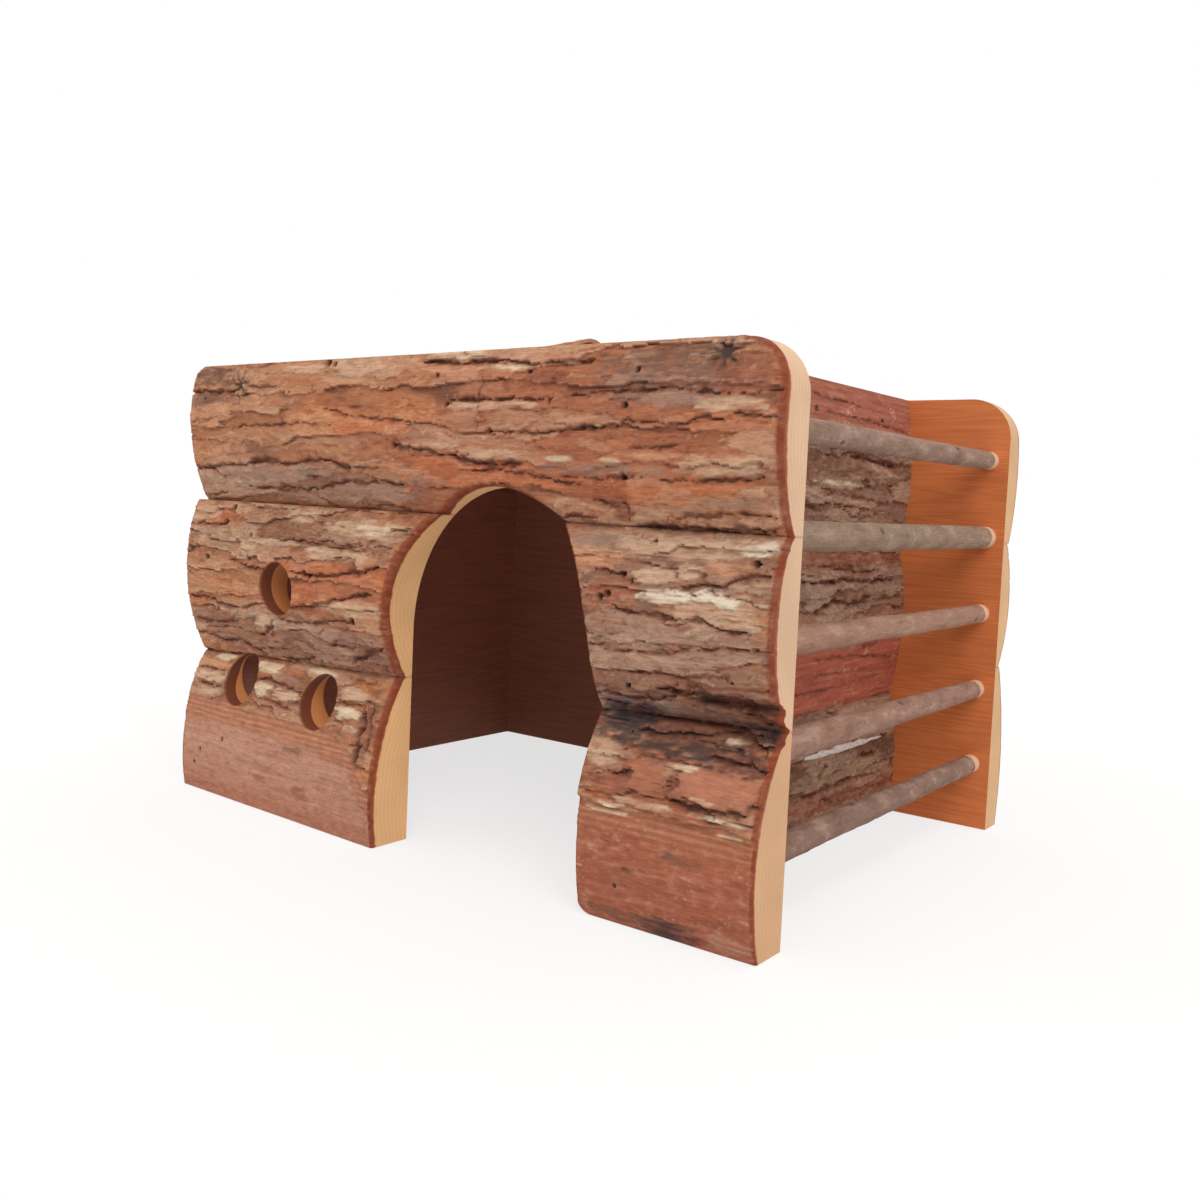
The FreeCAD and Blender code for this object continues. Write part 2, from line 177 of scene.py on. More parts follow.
# ------------------------ half logs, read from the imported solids
class Side:
    """One face of the house: length s runs along, slabs are stacked across (t), bark looks out (d)."""

    def __init__(self, along, across, out):
        self.along, self.across, self.out = (np.array(v, float) for v in (along, across, out))

    def points(self, names):
        """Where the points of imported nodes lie, as s, t and d."""
        co = np.concatenate([np.array([v.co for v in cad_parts[n].data.vertices]) for n in names]) / MM
        return co @ self.along, co @ self.across, co @ self.out

    def place(self, s, t, d):
        """Row coordinates in metres."""
        return (np.outer(s, self.along) + np.outer(t, self.across) + np.outer(d, self.out)) * MM

    def surface_at(self, mesh_tree, s, t, start):
        """How far out a mesh lies at a place, seen from start, or None where it has nothing."""
        outside = Vector(self.place([s], [t], [start])[0])
        hit = mesh_tree.ray_cast(outside, Vector(-self.out))[0]
        return None if hit is None else np.dot(hit, self.out) / MM


FRONT = Side((1, 0, 0), (0, 0, 1), (0, -1, 0))
BACK = Side((-1, 0, 0), (0, 0, 1), (0, 1, 0))
RACK_WALL = Side((0, 1, 0), (0, 0, 1), (1, 0, 0))
PLAIN_WALL = Side((0, -1, 0), (0, 0, 1), (-1, 0, 0))
ROOF = Side((1, 0, 0), (0, 1, 0), (0, 0, 1))


def tree_of(mesh):
    """Search tree of a mesh's faces."""
    return BVHTree.FromPolygons([v.co for v in mesh.vertices], [p.vertices for p in mesh.polygons])


STATION_INSET = 1.0         # how far from the ends of a span its round is measured
OUTSIDE = 60                # farther out than any half log is thick


class Log:
    """A half log between two sawn edges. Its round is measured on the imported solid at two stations."""

    def __init__(self, side, name, lows, highs, panel, span, joints):
        s, _, d = side.points([name])
        self.side, self.name = side, name
        self.start, self.end, self.flat = s.min(), s.max(), d.min()
        self.lows, self.highs, self.panel = lows, highs, panel
        self.joint_below, self.joint_above = joints
        first, last = span or (self.start, self.end)
        self.stations = (first + STATION_INSET, last - STATION_INSET)
        tree = tree_of(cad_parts[name].data)
        self.circles = [self.measure(tree, station) for station in self.stations]

    def measure(self, tree, s):
        """Centre and radius of the bark's arc at s, above the flat side."""
        hits = []
        for share in np.linspace(0.03, 0.97, 24):
            t = self.across(s, share)
            out = self.side.surface_at(tree, s, t, self.flat + OUTSIDE)
            if out is not None:
                hits.append((t, out - self.flat))
        t, d = np.array(hits).T
        system = np.column_stack([2 * t, 2 * d, np.ones(len(t))])
        tc, dc, k = np.linalg.lstsq(system, t**2 + d**2, rcond=None)[0]
        return tc, dc, math.sqrt(k + tc * tc + dc * dc)

    def low(self, s):
        return np.interp(s, self.panel, self.lows)

    def high(self, s):
        return np.interp(s, self.panel, self.highs)

    def across(self, s, share):
        """The place a share of the way from the lower to the upper edge."""
        return self.low(s) + share * (self.high(s) - self.low(s))

    def crown(self, s, t):
        """0 on the two edges and 1 midway between them, along a half wave."""
        return np.sin(np.pi * np.clip((t - self.low(s)) / (self.high(s) - self.low(s)), 0, 1))

    def thickness(self, s, t):
        """Height of the sound round over the flat side."""
        u = (s - self.stations[0]) / (self.stations[1] - self.stations[0])
        tc, dc, r = ((1 - u) * a + u * b for a, b in zip(*self.circles))
        return dc + np.sqrt(np.maximum(r * r - (t - tc) ** 2, 1.0))

    def joint_distance(self, s, t):
        """Distance to the joints with the slabs below and above."""
        away = np.full(s.shape, FAR)
        if self.joint_below:
            away = np.minimum(away, t - self.low(s))
        if self.joint_above:
            away = np.minimum(away, self.high(s) - t)
        return away


def stack(side, rows, top, spans=None):
    """The half logs of one side, lowest row first. Where two rows meet, they share a sawn edge."""
    measured = [side.points(names) for names in rows]
    panel = (measured[-1][0].min(), measured[-1][0].max())
    edges = [[t[abs(s - end) < SAME].min() for end in panel] for s, t, _ in measured] + [[top, top]]
    logs = []
    for row, names in enumerate(rows):
        joints = (row > 0, row + 1 < len(rows))
        for name in names:
            logs.append(Log(side, name, edges[row], edges[row + 1], panel, (spans or {}).get(name), joints))
    return logs


def extent(name, axis):
    """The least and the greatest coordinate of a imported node: axis 0 is x."""
    return [corner[axis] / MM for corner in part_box(name)]


HOUSE_TOP = extent("back_top_slab", 2)[1]
DOOR_LEFT = extent("front_left_bottom_slab", 0)[1]
DOOR_RIGHT = extent("front_right_bottom_slab", 0)[0]
PANEL_END = extent("front_top_slab", 0)[1]
ROOM_LEFT, ROOM_RIGHT = extent("plain_wall_top_slab", 0)[1], extent("rack_wall_top_slab", 0)[0]
BESIDE_DOOR = [(-PANEL_END, DOOR_LEFT), (DOOR_RIGHT, PANEL_END)]

front_rows = [[f"front_{half}_{row}_slab" for half in ("left", "right")] for row in ("bottom", "middle")]
front_spans = {name: span for names in front_rows for name, span in zip(names, BESIDE_DOOR)}
front = stack(FRONT, front_rows + [["front_top_slab"]], HOUSE_TOP, front_spans)
back, rack_wall, plain_wall = (
    stack(side, [[f"{name}_{row}_slab"] for row in ("bottom", "middle", "top")], HOUSE_TOP)
    for side, name in ((BACK, "back"), (RACK_WALL, "rack_wall"), (PLAIN_WALL, "plain_wall")))
roof = stack(ROOF, [[f"roof_slab_{row}"] for row in (1, 2, 3)], extent("roof_slab_3", 1)[1])

# ------------------------ cut-outs of the panels
DOOR_CENTRE = (DOOR_LEFT + DOOR_RIGHT) / 2
DOOR_HALF = (DOOR_RIGHT - DOOR_LEFT) / 2
DOOR_TOP = 119.0
DOOR_SPRING = 70.0
FOOT_RADIUS = 4.5
PEEP_HOLES = [(-71.0, 80.0), (-96.5, 44.0), (-49.0, 42.5)]
PEEP_RADIUS = 9.5
RACK_CORNER = 15.0
PLAIN_CORNER = 5.0
SAWN_EDGE = 0.7             # radius of a bark edge that was hardly sanded


def door_distance(s, t):
    """Distance outside the doorway, negative within it."""
    x, z = s - DOOR_CENTRE, t - DOOR_SPRING
    rise = DOOR_TOP - DOOR_SPRING
    level = np.hypot(x / DOOR_HALF, z / rise) + 1e-9
    slope = np.hypot(x / DOOR_HALF**2, z / rise**2) / level + 1e-9
    return np.where(z > 0, (level - 1) / slope, abs(x) - DOOR_HALF)


def hole_distance(s, t):
    return np.min([np.hypot(s - x, t - z) - PEEP_RADIUS for x, z in PEEP_HOLES], axis=0)


def foot_distance(s, t):
    """Distance inside the rounded foot of the doorway's rack side."""
    x, z = np.maximum(DOOR_RIGHT + FOOT_RADIUS - s, 0), np.maximum(FOOT_RADIUS - t, 0)
    return np.where((x > 0) & (z > 0) & (s > DOOR_CENTRE), FOOT_RADIUS - np.hypot(x, z), FAR)


# The next three make functions of a place (s, t).
def end_distance(end, radius):
    """Distance inside one end of a panel, 1 or -1, and inside its rounded upper corner."""
    def distance(s, t):
        away = PANEL_END - end * s
        x, z = np.maximum(radius - away, 0), np.maximum(t - (HOUSE_TOP - radius), 0)
        return np.where((x > 0) & (z > 0), radius - np.hypot(x, z), away)
    return distance


def nearest(*distances):
    """The least of several distances."""
    return lambda s, t: np.min([distance(s, t) for distance in distances], axis=0)


def everywhere(value):
    """The same value at every place."""
    return lambda s, t: np.full(s.shape, value)


def door_radius(s, t):
    """Only the doorway's left side was sanded, and it was left sharp where its bark has gone."""
    left = SAWN_EDGE + 1.3 * smooth(24, 60, t) * smooth(30, -4, s)
    return np.where(s < DOOR_CENTRE, left, SAWN_EDGE)


def rack_end_radius(s, t):
    return 0.6 + 0.7 * smooth(34, 44, t) + 0.3 * noise(s / 9, t / 9, 83)


# Distance to the nearest cut of each panel, negative in what is cut away.
rack_end, plain_end = end_distance(1, RACK_CORNER), end_distance(-1, PLAIN_CORNER)
front_inside = nearest(rack_end, plain_end, door_distance, hole_distance, foot_distance)
back_inside = nearest(end_distance(-1, RACK_CORNER), end_distance(1, PLAIN_CORNER))
wall_inside = everywhere(FAR)

# How far each cut's bark edge was sanded round: the distance to the cut, and the radius.
FRONT_SANDED = [(rack_end, rack_end_radius), (door_distance, door_radius), (plain_end, everywhere(0.9))]
BACK_SANDED = [(back_inside, everywhere(2.0))]

# ------------------------ bark of the front
# Cracks: width, depth, and then x and z of each point on their way.
FRONT_CRACKS = [
    (0.8, 1.6, -127, 150.2, -119, 150.8, -112, 150.3, -104, 150.1, -97, 150.4),
    (0.7, 1.2, -93, 151.2, -84, 151.3, -74, 151),
    (0.4, 0.7, -125, 139.2, -116, 140, -106, 141),
    (0.5, 1, -100, 136.3, -93, 137.6, -84, 137.6, -72, 137.8, -62, 138.4, -50, 137.6, -44, 137.3),
    (0.7, 1.5, -127, 122, -118, 122, -113, 122.8, -103, 123.8, -92, 123.6),
    (1.6, 2.4, -93, 123.8, -88, 125, -80, 125.5, -72, 124.7),
    (0.7, 1.6, -74, 124.4, -64, 124.6, -56, 125.6, -48, 125.9),
    (1.1, 2, -48, 125.9, -44, 125.4, -39, 123.9, -35, 123.4),
    (0.4, 0.9, -35, 123.4, -28, 123.7, -21, 123.6),
    (0.7, 1.6, -95, 116, -88, 115.4, -80, 115.8, -74, 116.6, -68, 115.8, -62, 115.6, -56, 116.5),
    (0.8, 1.7, -58, 115.2, -50, 117.3, -44, 118.6, -38, 119.4, -33, 118.2, -28, 119, -12, 119),
    (0.6, 0.9, -127, 112.2, -120, 112, -111, 113.2),
    (0.5, 1.1, -50, 143.2, -42, 142.5, -38, 140.6, -28, 140, -18, 139.2, -3, 138.3),
    (0.9, 1.6, -16, 131.4, -11, 130.7, -4, 129.9, 2, 129.6, 8, 128.3, 14, 128),
    (1, 1.8, 13, 128, 18, 127, 24, 126, 32, 125.6, 42, 126),
    (0.6, 1.3, 20, 123.6, 30, 123.9, 38, 123.2, 46, 122.5, 55, 120.9, 64, 120.2),
    (0.7, 1.7, 10, 144.8, 20, 144.8, 30, 144.6, 38, 144.9, 46, 144.3, 53, 144.8),
    (0.8, 1.7, 51, 145, 52, 142.8),
    (0.7, 1.5, 55, 145, 66, 145.7, 76, 146, 84, 146, 92, 146.8, 100, 145.8, 113, 144.4),
    (0.6, 1.3, 113, 144.2, 118, 144.6, 121, 145.4, 127, 145),
    (1, 2, -4, 157.4, 6, 157, 12, 156, 18, 156.2, 26, 156.6, 34, 156),
    (0.8, 1.7, 32, 155.8, 38, 155.6, 44, 154.6, 52, 155.1, 60, 154.8, 67, 155.4),
    (0.7, 1.3, 22, 135, 28, 135.3, 34, 134.9, 44, 135, 52, 134.7, 60, 135.9, 76, 136.9),
    (0.7, 1.6, 76, 137, 80, 138.2, 86, 137.8, 92, 137.2, 98, 137, 103, 138.4, 112, 138.3),
    (0.6, 1.3, 110, 138.4, 116, 139.4, 121, 139, 127, 138),
    (0.35, 0.7, 23, 154, 24, 148, 23.5, 142, 24, 135),
    (0.8, 1, 80, 130.6, 90, 130.8, 97, 131.3),
    (0.5, 1, 50, 123, 60, 122.6, 70, 122.3, 77, 122.6, 85, 123.2),
    (0.5, 1.1, 88, 122, 96, 122.3, 104, 122.5, 112, 122.6, 122, 123.5),
    (0.8, 1.5, 66, 116.2, 72, 115.2, 77, 115.6, 77.5, 111),
    (0.7, 1.4, 92, 112.2, 98, 113.3, 104, 113, 108, 114, 113, 114.2, 124, 113.8),
    (0.7, 1.4, 52, 111.6, 58, 111.2, 67, 111.3),
    (1.1, 2, 80, 109.9, 90, 109.9, 100, 109.8, 112, 110.2, 122, 110.4),
    (0.7, 1.4, -127, 101, -118, 101.3, -106, 101, -100, 101.5),
    (0.5, 1, -70, 98.8, -62, 97.8, -52, 97.4, -44, 96.9, -30, 96.2, -18, 95.4),
    (0.7, 1.2, -99, 89, -94, 88.4, -88, 87, -84, 86.2, -78, 86),
    (0.9, 1.7, -62, 87, -54, 86.6, -48, 86.2, -40, 86.8, -36, 88, -22, 89.8, -15, 92),
    (0.7, 1.6, -66, 74.2, -58, 75, -50, 76, -42, 78, -36, 79.2, -24, 81.8, -16, 82.6),
    (0.8, 1.6, -127, 73.8, -118, 73.4, -112, 74, -107, 72, -92, 71.3, -86, 73, -79, 74.2),
    (0.7, 1.4, -72, 69.8, -66, 68.8, -58, 69.3, -50, 70, -40, 71.6, -28, 72.4),
    (0.9, 1.6, -86, 62, -80, 63.4, -76, 65.8, -74, 68.8),
    (0.6, 1.2, -127, 65, -115, 64.3, -104, 65.2, -96, 66.4),
    (0.7, 1.3, -127, 59, -118, 58.7, -108, 57.6, -100, 58.8, -90, 56, -84, 54.6),
    (0.8, 1.5, -76, 54.4, -66, 55, -60, 55.4, -55, 58),
    (1.2, 2, -36, 57.4, -30, 60.2, -24, 62.6, -17, 65),
    (0.5, 1, -49, 63, -48, 67, -45, 69),
    (0.6, 1.1, -46, 62.6, -40, 63.6, -34, 62.6, -30, 64),
    (0.7, 1.4, 70, 97, 76, 96.8, 83, 96.2),
    (0.9, 1.8, 97, 95.4, 102, 94.2, 106, 95.6, 110, 94.8, 115, 97.2, 121, 98.5, 127, 99),
    (0.7, 1.5, 76, 88, 84, 86.8, 92, 86.6, 100, 85.7, 106, 86.4, 110, 84.6, 116, 84.2, 126, 84.6),
    (0.5, 1, 72, 76.2, 80, 75.6, 90, 76, 98, 77.2, 104, 78.2, 112, 79.8, 124, 80.2),
    (0.6, 1.2, 78, 70.2, 88, 70.3, 94, 71.2, 100, 70.6, 108, 71.8, 113, 72, 116, 70.2),
    (0.8, 1.6, 70, 62.6, 78, 63, 86, 62.4, 92, 63.4, 97, 65),
    (2.6, 3.2, 92, 66.4, 99, 66.8, 105, 66, 110, 64.8, 118, 65.2, 127, 64.6, 131, 64.4),
    (1.3, 2.6, 82, 53.3, 90, 53.4, 98, 54.3, 106, 55, 112, 56.2, 118, 55.8, 127, 53),
    (0.9, 2, 84, 57.5, 94, 57.6, 104, 57.7, 114, 57.6, 122, 56.6),
    (0.8, 1.8, 74, 60.5, 80, 59, 86, 60),
    (1.3, 2.4, 118, 62.8, 122, 61.2, 127, 60.4),
    (1, 1.8, 100, 38.6, 107, 37.6, 116, 37.9, 125, 38.8),
    (1.2, 2.4, 108, 51, 114, 49.6, 119, 50.4, 126, 48.8),
    (1.8, 2, 101.2, 44, 99, 40.6),
    (1.5, 1.8, 81.5, 41.6, 84, 42.6, 88, 43.2),
    (0.9, 1.6, 123.5, 41, 127, 40.4),
    (0.3, 0.35, 79, 23.6, 84, 22.8, 90, 22),
    (0.7, 0.4, 86, 16.4, 90, 17.2, 95, 17.8),
    (1.5, 2.2, -25, 45, -23, 40, -22, 34, -22.5, 27),
    (1, 1.6, -20, 46, -18.6, 38, -18, 28),
    (0.7, 1.2, -127, 45.6, -116, 45.8, -106, 45.9),
    (0.7, 1.2, -87, 45.9, -76, 46, -66, 44.6, -58, 44.2),
    (0.6, 1.1, -122, 40.2, -112, 39.8, -106, 40.4),
    (0.6, 1.1, -80, 39.4, -70, 39, -62, 38),
    (0.6, 1, -38, 44.6, -30, 44, -25, 44.8),
]

# Zones of colour: centre x and z, half width, half height and colour.
FRONT_ZONES = [
    (70, 138, 75, 24, ORANGE), (20, 120, 60, 12, ORANGE), (-40, 88, 34, 14, ORANGE),
    (98, 42, 34, 11, srgb(130, 76, 57)), (98, 66, 34, 7, srgb(124, 92, 80)),
    (97, 57.5, 36, 8.5, srgb(74, 56, 51)), (96, 97, 36, 14, srgb(127, 94, 77)),
    (-70, 100, 60, 9, srgb(131, 93, 71)), (-64, 118, 62, 6.5, GREY), (-114, 156, 13, 3.5, UMBER),
    (93, 150.5, 24, 8.5, srgb(122, 90, 76)), (112, 116.6, 14, 1.6, GREY), (66, 118.5, 12, 2.6, RED_BROWN),
    (50, 150.6, 9, 2, RED_BROWN), (-22, 134, 20, 4, ORANGE), (115, 151, 10, 6, RED_BROWN),
    (-96, 145, 18, 3.5, PEACH), (-60, 92, 16, 2.8, ORANGE), (-80, 62.5, 48, 9.5, srgb(128, 98, 84)),
    (-36, 62, 22, 8, LILAC), (-104, 104, 14, 3.6, ORANGE), (78, 91, 9, 3.4, ORANGE),
    (98, 77, 34, 11, srgb(130, 100, 86)), (-70, 44, 62, 9, srgb(142, 96, 70)),
]

# Patches, as the zones, and how far each stands proud.
FRONT_PATCHES = [
    (-88, 121.5, 20, 2.6, LILAC, 0.2), (-30, 116.5, 16, 2, LILAC, 0.1), (-33, 156.4, 13, 3.4, BEIGE, 0.4),
    (-61, 156.6, 11, 1.9, BEIGE, 0.3), (12, 159, 13, 1.5, CREAM, 0.5), (10, 154.6, 13, 0.9, PEACH, 0.2),
    (28, 143, 18, 1.3, BEIGE, 0.2), (35, 154.2, 8, 0.8, CREAM, 0.2), (2, 130.8, 14, 0.8, BEIGE, 0.2),
    (30, 128.4, 15, 1.5, BEIGE, 0.3), (56, 127.4, 4.5, 0.9, CREAM, 0.5), (74, 127.4, 3.5, 0.8, CREAM, 0.5),
    (70, 124.6, 21, 1.7, LILAC, 0.2), (110, 126, 14, 2.6, BEIGE, 0.3), (88, 128.2, 8, 1, PEACH, 0.3),
    (96, 144, 12, 2.4, LILAC, 0.2), (112, 142, 10, 1.8, BEIGE, 0.2), (0, 120.2, 8, 1.3, LILAC, 0.5),
    (76, 113.5, 3, 4, INNER_BARK, -0.3), (-62, 153, 10, 2.3, ORANGE, 0.2),
    (92, 131.5, 9, 1.2, RED_BROWN, -0.2), (-118, 105, 9, 3, BEIGE, 0.2), (-61, 106.2, 9, 2.6, BEIGE, 0.3),
    (-27, 102.6, 20, 3.4, BEIGE, 0.4), (-22, 103, 9, 1.8, CREAM, 0.3), (-78, 96.6, 20, 1, BEIGE, 0.2),
    (-37, 94.2, 18, 2.3, BEIGE, 0.2), (-31, 76.4, 17, 2.4, BEIGE, 0.2), (-88, 94, 5, 1.2, BEIGE, 0.3),
    (-38, 84.2, 19, 3.2, ORANGE, 0.2), (-79, 67.4, 6, 3.2, BEIGE, 0.6), (-44, 66, 9, 2.6, LILAC, 0.4),
    (-24, 62, 8, 3.4, UMBER, -0.3), (70, 105.5, 12, 2.6, GREY, 0.2), (68, 100, 13, 2.8, PEACH, 0.3),
    (97, 104.4, 20, 2.8, BEIGE, 0.2), (119, 105.2, 6, 2, LICHEN, 0.5), (91, 96.6, 7, 2.2, BEIGE, 0.9),
    (102, 98.6, 4.2, 1.9, BEIGE, 0.9), (114, 100, 9, 1.6, PEACH, 0.4), (112, 88.6, 14, 4.4, BEIGE, 0.1),
    (96, 91.6, 9, 1.7, LICHEN, 0.6), (107, 92.8, 4, 1.9, LICHEN, 0.8), (113.5, 91, 4, 1.5, LICHEN, 0.7),
    (88, 60, 17, 3, SOOT, -0.4), (80, 55, 9, 4, SOOT, -0.3), (118, 60.6, 10, 5.5, SOOT, -0.3),
    (96, 61.4, 8, 2, GREY, 0.3), (79, 60.8, 6, 1.8, srgb(98, 92, 98), 0.2), (94, 55.8, 10, 1.2, ORANGE, 0.4),
    (104, 51, 26, 1.8, srgb(76, 54, 47), -0.2), (106, 56.4, 22, 2.6, SOOT, -0.5),
    (81, 56, 8, 3, srgb(58, 50, 53), -0.3), (112, 61.2, 13, 2.2, srgb(106, 74, 60), 0.4),
    (112, 65.6, 15, 1.6, srgb(34, 25, 24), -1.6), (84, 58.4, 8, 2.6, srgb(48, 42, 46), -0.5),
    (121, 57.5, 7, 4.6, srgb(42, 31, 29), -0.6), (116, 48.6, 12, 2.2, SOOT, -0.3),
    (104.5, 66.4, 3, 0.9, CREAM, 0.5), (115, 54.8, 3, 0.8, CREAM, 0.6), (76, 45.8, 6, 2.6, BEIGE, 0.4),
    (91, 42.6, 7, 3.8, srgb(160, 100, 74), 0.6), (112, 43.4, 12.5, 4.6, srgb(172, 110, 84), 1.4),
    (103, 46.8, 4, 0.8, CREAM, 1.2), (110, 39.6, 4, 0.7, BEIGE, 0.9), (92, 35.8, 10, 0.9, BEIGE, 0.2),
    (82, 33.6, 9, 0.7, CREAM, 0.1), (80, 31.4, 8, 0.6, CREAM, 0.1), (117, 36, 9, 0.6, CREAM, 0.2),
    (119, 32.3, 4, 0.5, CREAM, 0.2), (-118, 47.6, 12, 1.8, PEACH, 0.7), (-111, 50.6, 6, 1.3, CREAM, 0.9),
    (-116, 43, 12, 2, BEIGE, 1), (-113, 38.2, 7, 1.4, BEIGE, 0.7), (-82, 50, 7, 1.9, CREAM, 1),
    (-67, 50.2, 5, 1.6, ORANGE, 0.8), (-52, 52, 8, 0.9, CREAM, 0.8), (-82, 42.6, 5, 2.2, CREAM, 1),
    (-67, 42.4, 7, 1.7, BEIGE, 0.8), (-70, 47.4, 7, 1.3, LILAC, 0.5), (-66, 39, 5, 1.2, INNER_BARK, 0.1),
    (-31, 47.4, 7, 2, BEIGE, 0.8), (-31, 41.4, 7, 1.9, CREAM, 0.9), (-28, 36.6, 5, 1.2, BEIGE, 0.5),
    (-21, 37, 3.6, 11, UMBER, 0.3), (101, 2.6, 10, 3.4, SOOT, -0.1), (84, 3, 9, 1.8, UMBER, -0.1),
    (120, 3.6, 7, 2.4, PINK, 0.1), (-52, 10.8, 4, 2.4, RED_BROWN, 0.1), (-75, 11.8, 4, 1.2, RED_BROWN, 0.1),
    (-57, 24.6, 5, 1.4, UMBER, -0.1), (107, 26.2, 2.4, 0.8, RED_BROWN, -0.1), (105, 23, 6, 1.2, UMBER, -0.1),
    (88, 14, 14, 2.6, RED_BROWN, 0.1),
]

# Small holes, painted dark as the shade in them: x, z and radius.
FRONT_PITS = [
    (10, 143.2, 1), (5, 152.6, 0.8), (29, 135.4, 1), (42, 152.7, 0.8), (78.5, 142.1, 1.1), (81, 151.8, 0.9),
    (77.7, 123, 1.2), (120, 101.6, 1.2), (80.3, 96.4, 0.9), (83.7, 94.8, 0.7), (76, 90.8, 1.2),
    (73.6, 89.7, 1.2), (-113, 88.8, 1.4), (-55, 86.6, 1.5), (-52, 86, 1.2), (-30, 72.5, 1.5), (-87, 98.2, 1),
    (-87, 90, 1), (-101.5, 107.5, 1.6), (-104, 102.4, 1.3), (-50, 158.6, 1.6), (-46, 158, 1.2),
    (-13.5, 131, 1.1), (-100.5, 21.5, 1), (-114.5, 15.6, 0.8), (82.5, 66, 0.8), (88, 105.8, 0.6),
]

# Knots: centre, reach of their star of cracks, and size of the dark heart.
FRONT_KNOTS = [(-96.5, 152, 9, 1.6), (107.5, 155.6, 7.5, 2.2)]

# Line above which the bottom slabs keep their bark; below it they are peeled.
PEEL_LINE_X = [-127, -60, -28, -20, -14, 70, 100, 127]
PEEL_LINE_Z = [35, 34.5, 32, 22, 16, 33, 34, 33]

LOST_BARK, MORE_LOST = 1.7, 1.5         # depth of the peeled foot, and how much more it is at the rack

# Heights between which, and above which, the wall behind the rack is bare.
RACK_BAND_LOW, RACK_BAND_HIGH, RACK_BARE_TOP = 45.0, 70.0, 141.0


# ------------------------ bark
def line_distance(s, t, points):
    """Distance to a line through points, how far along it from 0 to 1, and whether a place is below it."""
    runs = np.linalg.norm(np.diff(points, axis=0), axis=1)
    before = np.concatenate([[0], np.cumsum(runs)])
    best, along, below = np.full(s.shape, FAR), np.zeros(s.shape), np.zeros(s.shape, bool)
    for (x, z), (dx, dz), run, done in zip(points, np.diff(points, axis=0), runs, before):
        k = np.clip(((s - x) * dx + (t - z) * dz) / run**2, 0, 1)
        away = np.hypot(s - x - k * dx, t - z - k * dz)
        under = ((t - z) * dx - (s - x) * dz) * np.sign(dx + 1e-9) < 0
        closer = away < best
        best = np.where(closer, away, best)
        along = np.where(closer, (done + k * run) / before[-1], along)
        below = np.where(closer, under, below)
    return best, along, below


def nearby(s, t, points, reach):
    """Which places lie within reach of the box round some points."""
    low, high = np.min(points, axis=0) - reach, np.max(points, axis=0) + reach
    return np.flatnonzero((s > low[0]) & (s < high[0]) & (t > low[1]) & (t < high[1]))


